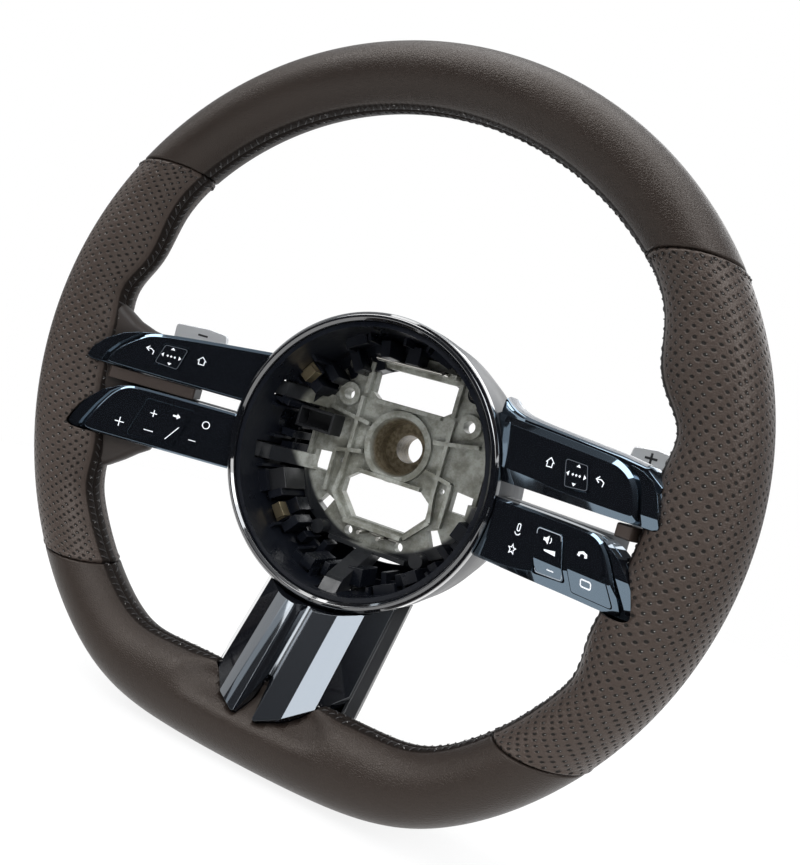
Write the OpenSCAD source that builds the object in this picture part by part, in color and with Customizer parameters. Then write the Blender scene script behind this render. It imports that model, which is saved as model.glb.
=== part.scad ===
// Flat-bottomed car steering wheel without its airbag, standing upright on the column axis.
// Each module draws in the wheel's own frame: x to the driver's right, y up, z towards the driver,
// with the middle of the column bore at the origin. upright() turns that frame to +Z up.

/* [Rim] */
// Outer radius of the rim at its sides
rim_r = 186; // [176:1:196]
// Rim centre to the outer edge at the top
rim_top = 179; // [170:1:188]
// Rim centre to the flat at the bottom
rim_flat = 173; // [164:1:178]
// Height of the rim centre above the column axis
rim_cy = 10; // [5:1:15]
// Distance of the rim's middle plane in front of the bore's middle
rim_fwd = 99; // [90:1:105]
// Radial thickness of the grip
grip_w = 34.4; // [31:0.2:37]
// Depth of the grip along the column
grip_d = 36; // [33:0.5:39]
// Extra thickness of the thumb rest at ten and two
thumb_h = 8; // [4:0.5:10]
// Thickness of the leather
leather_t = 1.4; // [1:0.1:2]
// Gap between leather and foam
leather_gap = 0.5; // [0.4:0.05:0.7]
// Radius of the cast core in the rim
core_r = 5; // [4:0.25:7]
// Angle of the upper leather seams above the rim centre
seam_up = 32.5; // [28:0.5:38]
// Angle of the lower leather seams below the rim centre
seam_low = 36; // [32:0.5:42]

/* [Hub] */
// Height of the hub ring's centre below the column axis
hub_drop = 10.5; // [8:0.5:12]
// Outer radius of the hub ring
hub_r = 75.5; // [74:0.5:78]
// Front of the hub ring above the bore's middle
hub_front = 76; // [74:0.5:78]
// Width of the hub ring
hub_ring_w = 5; // [4:0.5:6]
// Wall of the hub housing
housing_t = 2.4; // [2:0.2:3]
// Wall of the rear cover
cover_t = 2.2; // [1.8:0.2:2.8]

/* [Armature] */
// Radius of the column bore
bore_r = 8; // [7:0.25:9]
// Length of the column bore
bore_len = 18; // [14:1:20]
// Radius of the nut's counterbore
nut_r = 14.5; // [13:0.5:16]
// Outer radius of the boss around the bore
boss_r = 20; // [18:0.5:21]
// Front face of the cast plate
plate_z = 24; // [22:0.5:26]
// Thickness of the cast plate
plate_t = 6; // [5:0.5:8]
// Height of the ribs on the plate
rib_h = 4; // [2:0.5:6]
// Width of a cast arm
arm_w = 8; // [7:0.5:9]

/* [Spokes] */
// Forward slope of the side spokes
spoke_tilt = 26.7; // [25:0.1:28]
// Length of a side spoke's blades from its origin
spoke_len = 92.4; // [90:0.2:95]
// Depth of a blade's moulding
blade_d = 12; // [11:0.5:13]
// Depth of the switch panel in its frame
panel_d = 2.6; // [2.2:0.2:3.4]
// Depth of the rear cover behind the blades
back_d = 13; // [11:0.5:15]
// Outer end of the slot in the left spoke
slot_left = 33; // [30:1:40]
// Outer end of the slot in the right spoke
slot_right = 72; // [60:1:74]
// Clearance around a moving key
key_gap = 0.35; // [0.3:0.05:0.5]
// Travel of a key
key_travel = 0.8; // [0.5:0.1:1]
// Forward slope of the bottom spoke
foot_tilt = 31.8; // [30:0.2:33]
// Length of the bottom spoke's blades
foot_len = 66; // [62:1:68]

/* [Paddles] */
// Width of a paddle's plate
paddle_w = 50; // [45:1:54]
// Height of a paddle's plate
paddle_h = 32; // [28:1:34]
// Thickness of a paddle
paddle_t = 3.2; // [2.5:0.1:4]
// Radius of a paddle's pin
paddle_pin_r = 1.5; // [1.2:0.1:2]
// Running clearance of a paddle on its pin
pin_gap = 0.05; // [0.03:0.01:0.1]

/* [Hidden] */
$fn = 64;

// Angle step and corner count of the swept grip
grip_step = 5;
grip_sides = 18;
// Sharpness of the corners between the flat and the round of the rim
flat_blend = 24;
// Place and spread of the thumb rest, in degrees above the rim centre
thumb_at = 24;
thumb_spread = 8;
// The leather's root at the side spokes: middle, spread and reach
root_at = -5.5;
root_spread = 14.5;
root_reach = 10;
// The thicker stretch over the flat bottom: spread and reach
flat_spread = 27;
flat_reach = 8.6;
// How far the grip's front is pressed in under the bottom spoke's blades, and over what half width
foot_dent = 16;
foot_dent_w = 38;

// Distance of a side spoke's origin from the column axis, and its height
spoke_x = 68;
spoke_z = rim_fwd - 29.5;
// Bottom and top edge of the slot between the twin blades
slot_low = -6;
slot_top = 1;
// The blocks in the slots: outer end, back and depth
infill_end = 80;
infill_z = -24;
infill_d = 21;
// Distance that the rear cover's shoulder stands above the upper blade
shoulder = 4;
// Levels in the side spokes, measured back from the blades' front
floor_z = -panel_d;
floor_t = 2;
board_z = -9.6;
board_t = 1.4;
cover_z = -blade_d - 0.3;
arm_z = -18.4;
// Heights of the two arms in a side spoke, and their end in the rim
arm_rows = [14, -22];
arm_end = (rim_r - grip_w / 2 - spoke_x) / cos(spoke_tilt) - 10.8;
// Outer skin of a blade's moulding
blade_t = 2.2;
// Pin of a paddle in its spoke's frame: along the spoke and behind the front
pivot_u = 5;
pivot_depth = cover_z - back_d - 6;
paddle_slope = 14;
// Start of the bottom spoke, and its front ridge above its frame
foot_y = -80;
foot_z = 75;
foot_front = 3.6;
foot_arm_end = (rim_flat - rim_cy - grip_w / 2 + foot_y) / cos(foot_tilt) - 7.4;

// Airbag screw holes, and the ears for the housing's screws
screw_x = 37.3;
screw_y = 21.3;
screw_hole_r = 3.3;
ear_x = 36.7;
ear_y = 38.8;
ear_r = 5;
ear_hole_r = 1.7;
// The housing: outer radius, and the rear lip that its screws hold
housing_r = hub_r - hub_ring_w - 0.2;
wall_r = housing_r - housing_t;
lip_z = plate_z + 2;
lip_t = 2.4;
lip_r = housing_r - 7.7;
// The rear cover: outer radius, front edge, and the open mouth at its back
cover_r = hub_r - 0.3;
cover_front = 56.6;
cover_mouth = cover_r - 14.2;
// Gap between the blades' backs and the hub's cover
back_gap = 0.1;
// Spring wires for the airbag: radius, and the rib that the upper one lies on
wire_r = 1.1;
wire_top_y = 44.8;
wire_rib_h = 7;
// Angle and height of the shelves for the contact clips
clip_seats = [[144, 49], [221, 46]];
// Volume key: middle and pin
rocker_mid = [46, -22];
rocker_z = -6.6;
rocker_pin_r = 1.2;
// Places of the two domes under it, up and down from the middle
rocker_dome = 7;
// Height of a dome on a board
dome_h = 0.4;
// Underside of a key's cap, and the foot of its stem
cap_z = floor_z + key_travel + 0.4;
stem_z = board_z + dome_h + key_travel + 0.2;
// Bracket of a paddle: thickness of an ear, and its bottom and top
bracket_t = 3;
base_low = 5;
base_high = 27;

leather_brown = [0.2, 0.17, 0.15];
foam_grey = [0.25, 0.25, 0.25];
cast_grey = [0.62, 0.63, 0.6];
gloss_black = [0.03, 0.03, 0.04];
matte_black = [0.09, 0.09, 0.1];
satin_grey = [0.35, 0.35, 0.36];
silver = [0.75, 0.76, 0.77];
steel = [0.7, 0.69, 0.65];
board_green = [0.1, 0.3, 0.18];

// Outlines in a side spoke's frame: out along the spoke, and up
upper_outline = [[-14, 1.2], [89, 1.2], [spoke_len, 2.6], [90.6, 7.5], [85, 14], [77, 19.2], [65, 23.2],
                 [30, 27.4], [-14, 32]];
upper_cap = [[-14, 1.2], [80, 1.2], [82, 2.8], [80.6, 7.2], [76, 13], [69, 18.6], [62, 23.55],
             [30, 27.4], [-14, 32]];
lower_outline = [[-14, -36], [89, -36], [spoke_len + 0.6, -34], [92.2, -30.5], [88, -21.5], [80, -13],
                 [71, -8], [61, slot_low - 0.2], [-14, slot_low - 0.2]];
lower_cap = [[-14, -36], [83, -36], [85, -34], [84.2, -31], [79.6, -21.5], [74, -12.5], [68, -7.4],
             [60, slot_low - 0.2], [-14, slot_low - 0.2]];
pad_outline = [[41, 20], [54, 19.3], [57.5, 8.2], [44.5, 7.4]];
rocker_outline = [[36.5, -12], [51, -12], [57, -31], [40.5, -32]];
call_outline = [[53.6, -10.4], [70.5, -11.8], [76.4, -22], [57, -22.2]];
hang_up_outline = [[57.6, -23.6], [77.2, -23.4], [81.8, -33.4], [60.8, -33.4]];
cruise_outline = [[30, -11.5], [55, -11.5], [61, -32], [36, -32]];
lower_keys_left = [cruise_outline];
lower_keys_right = [rocker_outline, call_outline, hang_up_outline];
// Outline of the rear cover in a side spoke, and the two rooms inside it
cover_outline = [[-14, -36], [66, -36], [66, 22.8 + shoulder], [30, 27.4 + shoulder], [-14, 34 + shoulder]];
cover_room_upper = [[-24, slot_top + 2.2], [63.8, slot_top + 2.2], [63.8, 22.6], [30, 27], [-24, 32.4]];
cover_room_lower = [[-24, -33.8], [63.8, -33.8], [63.8, slot_low - 2.2], [-24, slot_low - 2.2]];

// Outline of the cast plate, and its openings
plate_outline = [[-30, 51], [30, 51], [44, 42], [47, 22], [53, 12], [53, -30], [42, -50], [24, -60],
                 [-24, -60], [-42, -50], [-53, -30], [-53, 12], [-47, 22], [-44, 42]];
window_upper = [[-25, 41], [25, 41], [24.6, 26], [20.5, 23], [-20.5, 23], [-24.6, 26]];
window_lower = [[-20, -20], [20, -20], [26.5, -25], [26.5, -33], [16.5, -44.5], [-16.5, -44.5],
                [-26.5, -33], [-26.5, -25]];
window_side = [[38, -13.5], [49.5, -14.5], [49.5, -25], [38, -25]];
window_corner = [[29.5, -39], [35, -36.5], [39.5, -43], [33.5, -47]];

// Section of the bottom spoke's front, across and forwards, and the room behind it
foot_section = [[-36, -21], [-34, -15.5], [-20, -4.5], [-5.2, 0], [-4, -2.6], [0, -4.4],
                [4, -2.6], [5.2, 0], [20, -4.5], [34, -15.5], [36, -21]];
foot_room = [[-32.5, -30], [-32.2, -16.4], [-19, -6.8], [-5, -6.2], [0, -7],
             [5, -6.2], [19, -6.8], [32.2, -16.4], [32.5, -30]];
// Outline of its pointed twin blades, across and down along the spoke
foot_outline = [[-60, -20], [-60, 30], [-36, 36], [-20, 54], [-6.4, foot_len], [-5, foot_len], [-1, 44],
                [1, 44], [5, foot_len], [6.4, foot_len], [20, 54], [36, 36], [60, 30], [60, -20]];
// Section of its rear shell, outside and inside, and the shell seen from the side: down and forwards
shell_section = [[-36, -21.3], [-40, -26], [-36, -40], [-24, -44], [24, -44], [36, -40], [40, -26],
                 [36, -21.3]];
shell_room = [[-33.5, -20], [-37.4, -26], [-34, -38], [-23.4, -41.6], [23.4, -41.6], [34, -38],
              [37.4, -26], [33.5, -20]];
shell_side = [[-30, -20], [43, -20], [53.5, -33.5], [22, -44.5], [-30, -44.5]];
shell_side_room = [[-31, -19], [60, -19], [60, -30], [22, -41.6], [-31, -41.6]];

module upright() rotate([90, 0, 0]) children();

// Angle above the rim centre of a station, the same on both sides
function rise(a) = a > 90 && a < 270 ? 180 - a : (a >= 270 ? a - 360 : a);

// Outer radius of the rim about its centre: an ellipse above, a circle with a flat below
function rim_radius(a) = sin(a) >= 0
    ? 1 / sqrt(pow(cos(a) / rim_r, 2) + pow(sin(a) / rim_top, 2))
    : pow(pow(rim_r, -flat_blend) + pow(rim_flat / max(-sin(a), 0.001), -flat_blend), -1 / flat_blend);
function rim_point(a) = rim_radius(a) * [cos(a), sin(a)] + [0, rim_cy];
function rim_normal(a) =
    let (t = rim_point(a + 0.5) - rim_point(a - 0.5))
    [t.y, -t.x] / norm(t);

// How far the grip reaches inwards beyond its plain section
function thumb(a) = thumb_h * exp(-pow((rise(a) - thumb_at) / thumb_spread, 2));
function root(a) = root_reach * exp(-pow((rise(a) - root_at) / root_spread, 6));
function sag(a) = flat_reach * exp(-pow((rise(a) + 90) / flat_spread, 4));
function reach(a) = thumb(a) + root(a) + sag(a);

// How deep the grip's front is pressed in at a section angle t, where the bottom spoke lands
function dent(a, t) =
    let (f = min(1, max(0, (-cos(t) - 0.3) / 0.45)))
    sin(a) < 0 && sin(t) > 0
    ? foot_dent * f * f * (3 - 2 * f) * exp(-pow(rim_point(a).x / foot_dent_w, 6))
    : 0;

// One ring of the grip's skin, drawn in by inset
function grip_ring(a, inset) =
    let (n = rim_normal(a), c = rim_point(a) - n * grip_w / 2)
    [for (i = [0:grip_sides - 1])
        let (t = i * 360 / grip_sides,
             out = cos(t) * (grip_w / 2 - inset) + (cos(t) < 0 ? cos(t) * reach(a) : 0),
             p = c + n * out)
        [p.x, p.y, rim_fwd + sin(t) * (grip_d / 2 - inset - dent(a, t))]];
function core_ring(a, r) =
    let (n = rim_normal(a), c = rim_point(a) - n * grip_w / 2)
    [for (i = [0:7])
        let (t = i * 45 + 22.5, p = c + n * r * cos(t))
        [p.x, p.y, rim_fwd + r * sin(t)]];

// Closed faces between ring after ring, flipped for an inner wall
function wall(rings, sides, start, flip) =
    [for (k = [0:rings - 2], i = [0:sides - 1])
        let (a = start + k * sides + i, b = start + k * sides + (i + 1) % sides,
             c = b + sides, d = a + sides)
        for (f = flip ? [[a, c, b], [a, d, c]] : [[a, b, c], [a, c, d]]) f];
function end_wall(first, second, sides, flip) =
    [for (i = [0:sides - 1])
        let (a = first + i, b = first + (i + 1) % sides, c = second + (i + 1) % sides, d = second + i)
        for (f = flip ? [[a, c, b], [a, d, c]] : [[a, b, c], [a, c, d]]) f];

// A stretch of the leather tube between two angles
module skin(from, to) {
    first = grip_step * (floor(from / grip_step) + 1);
    angles = concat([from], [for (a = [first:grip_step:to - 0.5]) a], [to]);
    count = len(angles);
    points = concat([for (a = angles) each grip_ring(a, 0)], [for (a = angles) each grip_ring(a, leather_t)]);
    inner = count * grip_sides;
    polyhedron(points, concat(
        wall(count, grip_sides, 0, false),
        wall(count, grip_sides, inner, true),
        end_wall(0, inner, grip_sides, true),
        end_wall(inner - grip_sides, 2 * inner - grip_sides, grip_sides, false)));
}

// A closed ring swept all the way round
module hoop(rings, sides) {
    count = len(rings);
    points = [for (r = rings) each r];
    last = (count - 1) * sides;
    polyhedron(points, concat(wall(count, sides, 0, false), end_wall(last, 0, sides, false)));
}
module core_hoop(r) hoop([for (a = [0:grip_step:359]) core_ring(a, r)], 8);

// Puts its children in the right or left spoke's frame: x out along the spoke, y up, z square to its front
module in_spoke(side)
    mirror([side < 0 ? 1 : 0, 0, 0])
        translate([spoke_x, 0, spoke_z])
            rotate([0, -spoke_tilt, 0])
                children();

// Puts its children in the bottom spoke's frame: x across, y down along the spoke, z square to its front
module in_foot()
    translate([0, foot_y, foot_z])
        rotate([-foot_tilt, 0, 0])
            rotate([0, 0, 180])
                children();

// A slab of an outline between two levels, drawn in by inset
module slab(outline, low, high, inset = 0)
    translate([0, 0, low])
        linear_extrude(high - low)
            offset(delta = -inset)
                polygon(outline);
module slab_round(outline, low, high, r)
    translate([0, 0, low])
        linear_extrude(high - low)
            offset(r = r)
                offset(delta = -r)
                    polygon(outline);

module hub_disc(r, low, high)
    translate([0, -hub_drop, low])
        cylinder(h = high - low, r = r, $fn = 128);

// The five cast arms that carry the rim, and their sloping links to the plate
module arms(grow) {
    for (side = [-1, 1])
        for (v = arm_rows) {
            in_spoke(side)
                translate([-8 - grow, v - arm_w / 2 - grow, arm_z - arm_w / 2 - grow])
                    cube([arm_end + 8 + 2 * grow, arm_w + 2 * grow, arm_w + 2 * grow]);
            mirror([side < 0 ? 1 : 0, 0, 0])
                translate([0, v + arm_w / 2 + grow, 0])
                    rotate([90, 0, 0])
                        linear_extrude(arm_w + 2 * grow)
                            polygon([[36, 18 - grow], [50 + grow, 18 - grow], [64 + grow, 40 - grow],
                                     [70 + grow, 46.5 - grow], [79 + grow, 51 - grow],
                                     [77 + grow, 56 + grow], [62 - grow, 51.4 + grow], [46 - grow, 24 + grow],
                                     [36, 24]]);
        }
    in_foot()
        translate([-5 - grow, -14 - grow, -19 - grow])
            cube([10 + 2 * grow, foot_arm_end + 14 + 2 * grow, 9 + 2 * grow]);
    translate([-5 - grow, 0, 0])
        rotate([90, 0, 90])
            linear_extrude(10 + 2 * grow)
                polygon([[-46, 18 - grow], [-62 - grow, 18 - grow], [-80 - grow, 48 - grow], [-82 - grow, 59],
                         [-72 + grow, 58 + grow], [-56 + grow, 24 + grow], [-46, 24]]);
}

module plate_cut(outline)
    translate([0, 0, plate_z - 20])
        linear_extrude(40)
            polygon(outline);

// A straight raised rib on the plate between two points
module rib(from, to, wide = 2.2, high = rib_h) {
    run = to - from;
    translate([from.x, from.y, plate_z - 0.5])
        rotate([0, 0, atan2(run.y, run.x)])
            translate([0, -wide / 2, 0])
                cube([norm(run), wide, high + 0.5]);
}

module armature() color(cast_grey) upright() {
    core_hoop(core_r);
    difference() {
        union() {
            arms(0);
            translate([0, 0, plate_z - plate_t])
                linear_extrude(plate_t)
                    polygon(plate_outline);
            translate([0, 0, -bore_len / 2])
                cylinder(h = bore_len / 2 + plate_z + 3, r = boss_r);
            for (s = [-1, 1]) {
                translate([s * screw_x, screw_y, plate_z - plate_t])
                    cylinder(h = plate_t + 3, r = 6.6);
                translate([s * ear_x, ear_y, plate_z - plate_t])
                    cylinder(h = lip_z - plate_z + plate_t, r = ear_r);
                translate([s * 31, -55, plate_z - plate_t])
                    cylinder(h = plate_t + 9, r = 4);
                rib([s * 28, 22], [s * 28, -20]);
                rib([s * 28, -20], [s * 30, -34]);
                rib([s * 30, -34], [s * 18, -47]);
                rib([s * 20, 8], [s * 46, 12]);
                rib([s * 20, -8], [s * 36, -11]);
                rib([s * 52, 10], [s * 52, -29], 2);
                rib([s * 52, -29], [s * 41.5, -48.5], 2);
                rib([s * 36, -11], [s * 36, -35]);
                rib([s * 27, 42], [s * 27, 24]);
            }
            rib([-24, wire_top_y], [24, wire_top_y], 2.4, wire_rib_h);
            rib([-18, -47], [18, -47], 2.4, 7);
            rib([-24, -58.5], [24, -58.5], 2.6, 6);
            rib([-20.5, 21.5], [20.5, 21.5]);
            rib([-20, -18.5], [20, -18.5]);
        }
        translate([0, 0, -bore_len])
            cylinder(h = 80, r = bore_r);
        translate([0, 0, bore_len / 2])
            cylinder(h = 80, r = nut_r);
        translate([0, 0, plate_z - 4])
            cylinder(h = 8, r1 = nut_r, r2 = nut_r + 2.4);
        plate_cut(window_upper);
        plate_cut(window_lower);
        for (s = [0, 1])
            mirror([s, 0, 0]) {
                plate_cut(window_side);
                plate_cut(window_corner);
                translate([screw_x, screw_y, -20])
                    cylinder(h = 80, r = screw_hole_r);
                translate([ear_x, ear_y, -20])
                    cylinder(h = 80, r = ear_hole_r);
                translate([31.3, -16, -20])
                    cylinder(h = 80, r = 1.6);
                translate([16, -52.5, -20])
                    cylinder(h = 80, r = 2.6);
                translate([40.5, 33, -20])
                    cylinder(h = 80, r = 3.6);
            }
    }
}

module rim_foam() color(foam_grey) upright()
    difference() {
        hoop([for (a = [0:grip_step:359]) grip_ring(a, leather_t + leather_gap)], grip_sides);
        core_hoop(core_r + 0.4);
        arms(0.4);
        blade_room();
        for (side = [-1, 1])
            infill(side, 0.3);
    }

// Room for the blades' ends in the leather and foam
module blade_room() {
    for (side = [-1, 1])
        in_spoke(side) {
            slab(upper_outline, cover_z - 14, 6, -0.3);
            slab(lower_outline, cover_z - 14, 6, -0.3);
        }
    in_foot()
        foot_blank(0.3);
}

// The leather-covered block that fills the outer end of the slot between the blades
module infill(side, grow)
    in_spoke(side) {
        from = side < 0 ? slot_left : slot_right;
        translate([from, slot_low + 0.4 - grow, infill_z - grow])
            cube([infill_end + grow - from, slot_top - slot_low - 0.8 + 2 * grow, infill_d + 2 * grow]);
    }
module slot_infill_left() color(leather_brown) upright() infill(-1, 0);
module slot_infill_right() color(leather_brown) upright() infill(1, 0);

module leather_panel(from, to) color(leather_brown) upright()
    difference() {
        skin(from, to);
        arms(0.6);
        blade_room();
        for (side = [-1, 1])
            infill(side, 0.3);
    }
module leather_top() leather_panel(seam_up + 0.1, 179.9 - seam_up);
module leather_left() leather_panel(180.1 - seam_up, 179.9 + seam_low);
module leather_right() leather_panel(0.1 - seam_low, seam_up - 0.1);
module leather_bottom() leather_panel(180.1 + seam_low, 359.9 - seam_low);

module hub_ring() color(gloss_black) upright()
    difference() {
        translate([0, -hub_drop, 0])
            rotate_extrude($fn = 128)
                polygon([[hub_r - hub_ring_w, hub_front - 8], [hub_r - hub_ring_w, hub_front - 1.5],
                         [hub_r - hub_ring_w + 1.5, hub_front], [hub_r - 2, hub_front - 0.3],
                         [hub_r - 0.4, hub_front - 1.8], [hub_r, hub_front - 4], [hub_r, 57],
                         [hub_r - 2.4, 57], [hub_r - 2.4, hub_front - 8]]);
        foot_door();
    }

// The black housing round the airbag's room: a wall with ribs and shelves, and a rear lip with two ears
module hub_housing() color(matte_black) upright()
    difference() {
        union() {
            difference() {
                hub_disc(housing_r, lip_z, hub_front - 3);
                hub_disc(wall_r, lip_z + lip_t, hub_front);
                hub_disc(lip_r, lip_z - 5, hub_front);
            }
            for (s = [-1, 1])
                translate([s * ear_x, ear_y, lip_z])
                    cylinder(h = lip_t, r = ear_r);
            for (i = [0:23])
                on_wall(i * 15 + 2)
                    translate([-4, -0.8, lip_z + 1])
                        cube([5, 1.6, 22 + 8 * (i % 2)]);
            for (i = [0:7])
                on_wall(i * 45 + 24.5)
                    translate([-5, -6, 52])
                        cube([6, 12, 3]);
            for (c = clip_seats)
                on_wall(c[0])
                    translate([-8, -5, c[1] - 3])
                        cube([9, 10, 3]);
        }
        for (s = [-1, 1])
            translate([s * ear_x, ear_y, 0])
                cylinder(h = 60, r = ear_hole_r + 0.3);
        for (s = [-1, 1], v = arm_rows)
            translate([s < 0 ? -80 : 44, v - arm_w / 2 - 1, lip_z - 1])
                cube([36, arm_w + 2, 34]);
        foot_door();
    }
// The way out for the bottom spoke's arm
module foot_door()
    translate([-arm_w / 2 - 2, -90, lip_z - 1])
        cube([arm_w + 4, 34, 43]);

// Puts its children on the housing's wall at an angle: x outwards from the wall's inside
module on_wall(angle)
    translate([0, -hub_drop, 0])
        rotate([0, 0, angle])
            translate([wall_r, 0, 0])
                children();

// The rear shell of the hub: one revolved wall with doorways for the arms and the screws' side
module rear_cover() color(satin_grey) upright()
    difference() {
        translate([0, -hub_drop, 0])
            rotate_extrude($fn = 128)
                polygon([[cover_mouth, 6], [cover_r - 7.2, 6], [cover_r - 4.2, 9], [cover_r - 0.7, 34],
                         [cover_r, 52], [cover_r, cover_front], [cover_r - cover_t, cover_front],
                         [cover_r - 0.7 - cover_t, 34], [cover_r - 6.2, 11], [cover_r - 8.2, 6 + cover_t],
                         [cover_mouth, 6 + cover_t]]);
        cover_doors();
        foot_door();
    }
// The doorways of the side spokes' arms, drawn in the wheel's own frame
module cover_doors()
    for (s = [0, 1], v = arm_rows)
        mirror([s, 0, 0])
            translate([0, v + arm_w / 2 + 0.6, 0])
                rotate([90, 0, 0])
                    linear_extrude(arm_w + 1.2)
                        polygon([[60, 34], [66, 41.5], [70, 45.4], [76, 48.4], [76, 62], [60, 62]]);

// The hollow back of one blade, clipped on behind it; the upper one has a shoulder above the blade
module blade_back(side, upper) color(satin_grey) upright()
    difference() {
        in_spoke(side)
            difference() {
                slab(cover_outline, cover_z - back_d, cover_z + 7);
                slab(upper_outline, cover_z, cover_z + 8, -0.3);
                translate([-30, -60, cover_z])
                    cube([140, 72, 20]);
                slab(cover_room_upper, cover_z - back_d + cover_t, cover_z + 0.1);
                slab(cover_room_lower, cover_z - back_d + cover_t, cover_z + 0.1);
                translate([-30, upper ? -60 : slot_low, -60])
                    cube([140, upper ? 60 + slot_top : 80, 90]);
                for (v = arm_rows)
                    translate([60, v - arm_w / 2 - 0.6, arm_z - arm_w / 2 - 0.6])
                        cube([10, arm_w + 1.2, arm_w + 1.2]);
            }
        hub_disc(cover_r + back_gap, 0, cover_front - 0.3);
        hub_disc(hub_r + 0.4, cover_front - 0.4, 120);
        cover_doors();
    }
module upper_back_left() blade_back(-1, true);
module upper_back_right() blade_back(1, true);
module lower_back_left() blade_back(-1, false);
module lower_back_right() blade_back(1, false);

// Everything in front of the facets along a blade's edges
module facets(upper) {
    tilted(upper ? [0, 5.4] : [0, -33.8], 0, upper ? 25 : 42);
    tilted(upper ? [30, 23.6] : [30, -8], upper ? 173.6 : 180, upper ? 19 : 38);
}
// A half space that falls away from a line on the blades' front, towards its right hand side
module tilted(at, turn, fall)
    translate([at.x, at.y, 0])
        rotate([0, 0, turn])
            rotate([fall, 0, 0])
                translate([-160, -40, 0])
                    cube([320, 40, 30]);

// Front moulding of one blade: its outer skin, the pocket for its switch panel and the posts for its board
module blade_frame(upper, outline, cap, keys, posts)
    difference() {
        union() {
            difference() {
                slab(outline, -blade_d, 0);
                slab(outline, -blade_d - 1, floor_z - floor_t, blade_t);
                slab(cap, floor_z, 2, -0.25);
            }
            for (p = posts)
                translate([p.x, p.y, board_z])
                    cylinder(h = floor_z - 0.1 - board_z, r = 2);
        }
        for (k = keys)
            slab(k, -8, 2, 1);
        facets(upper);
    }
module upper_frame(side) color(gloss_black) upright()
    difference() {
        in_spoke(side)
            blade_frame(true, upper_outline, upper_cap, [pad_outline], [[18, 14], [66, 12]]);
        hub_disc(hub_r + 0.4, 20, 120);
    }
module upper_frame_left() upper_frame(-1);
module upper_frame_right() upper_frame(1);

module lower_frame(side) color(gloss_black) upright()
    difference() {
        in_spoke(side)
            difference() {
                union() {
                    blade_frame(false, lower_outline, lower_cap,
                                side < 0 ? lower_keys_left : lower_keys_right,
                                [[18, -26], [70, -14]]);
                    if (side > 0)
                        for (u = [-8.4, 6.2])
                            translate([rocker_mid.x + u, rocker_mid.y - 3, rocker_z - 2.2])
                                cube([2.2, 6, 2.2 - rocker_z + floor_z - 1]);
                }
                if (side > 0)
                    translate([rocker_mid.x - 20, rocker_mid.y, rocker_z])
                        rotate([0, 90, 0])
                            cylinder(h = 40, r = rocker_pin_r + pin_gap);
            }
        hub_disc(hub_r + 0.4, 20, 120);
    }
module lower_frame_left() lower_frame(-1);
module lower_frame_right() lower_frame(1);

module panel(side, upper, cap, keys) color(gloss_black) upright()
    difference() {
        in_spoke(side)
            difference() {
                slab(cap, floor_z + 0.05, 0);
                facets(upper);
                for (k = keys)
                    slab(k, -8, 2, -key_gap);
            }
        hub_disc(hub_r + 0.4, 20, 120);
    }
module upper_panel_left() panel(-1, true, upper_cap, [pad_outline]);
module upper_panel_right() panel(1, true, upper_cap, [pad_outline]);
module lower_panel_left() panel(-1, false, lower_cap, lower_keys_left);
module lower_panel_right() panel(1, false, lower_cap, lower_keys_right);

// A pressed key: a thin cap with a stem down to its board
module key(side, outline, proud, stem) color(gloss_black) upright()
    in_spoke(side) {
        slab_round(outline, cap_z, proud, 1.4);
        translate([stem.x, stem.y, stem_z])
            cylinder(h = cap_z + 0.1 - stem_z, r = 1.8);
    }
module touch_pad_left() key(-1, pad_outline, 0.4, [49, 13.8]);
module touch_pad_right() key(1, pad_outline, 0.7, [49, 13.8]);
module call_key() key(1, call_outline, 0.4, [64.5, -16.5]);
module hang_up_key() key(1, hang_up_outline, 0.4, [69.5, -28.4]);
module cruise_key() key(-1, cruise_outline, 0.4, [45.5, -21.8]);

// The volume key tips up and down on a cross pin
module volume_rocker() color(gloss_black) upright()
    in_spoke(1) {
        slab_round(rocker_outline, cap_z, 0.6, 1.4);
        translate([rocker_mid.x - 4, rocker_mid.y - 1.6, rocker_z])
            cube([8, 3.2, cap_z + 0.1 - rocker_z]);
        for (s = [-1, 1])
            translate([rocker_mid.x, rocker_mid.y + s * rocker_dome, stem_z])
                cylinder(h = cap_z + 0.1 - stem_z, r = 1.2);
        translate([rocker_mid.x - 8.2, rocker_mid.y, rocker_z])
            rotate([0, 90, 0])
                cylinder(h = 16.4, r = rocker_pin_r);
    }

// Two circuit boards a side, with a dome under each stem
module board(outline, domes) {
    slab(outline, board_z - board_t, board_z);
    for (d = domes)
        translate([d.x, d.y, board_z])
            cylinder(h = dome_h, r = 3);
}
module switch_boards(side, lower_domes) color(board_green) upright()
    in_spoke(side) {
        board([[14, 5], [70, 5], [70, 17.5], [60, 20], [14, 24]], [[49, 13.8]]);
        board([[14, -33], [78, -33], [74, -18], [70, -11], [14, -9.5]], lower_domes);
    }
module switch_boards_left() switch_boards(-1, [[45.5, -21.8]]);
module switch_boards_right() switch_boards(1, [rocker_mid + [0, rocker_dome], rocker_mid - [0, rocker_dome],
                                                  [64.5, -16.5], [69.5, -28.4]]);

// A paddle's bracket on the back of the spoke: a wall with two ears
module paddle_base(side) color(matte_black) upright()
    in_spoke(side)
        difference() {
            union() {
                translate([-2, base_low, cover_z - back_d - 12])
                    cube([2.6, base_high - base_low, 12]);
                for (v = [base_low, base_high - bracket_t])
                    translate([-2, v, cover_z - back_d - 12])
                        cube([11, bracket_t, 12]);
            }
            translate([pivot_u, base_low - 1, pivot_depth])
                rotate([-90, 0, 0])
                    cylinder(h = 40, r = paddle_pin_r);
        }
module paddle_base_left() paddle_base(-1);
module paddle_base_right() paddle_base(1);

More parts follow.
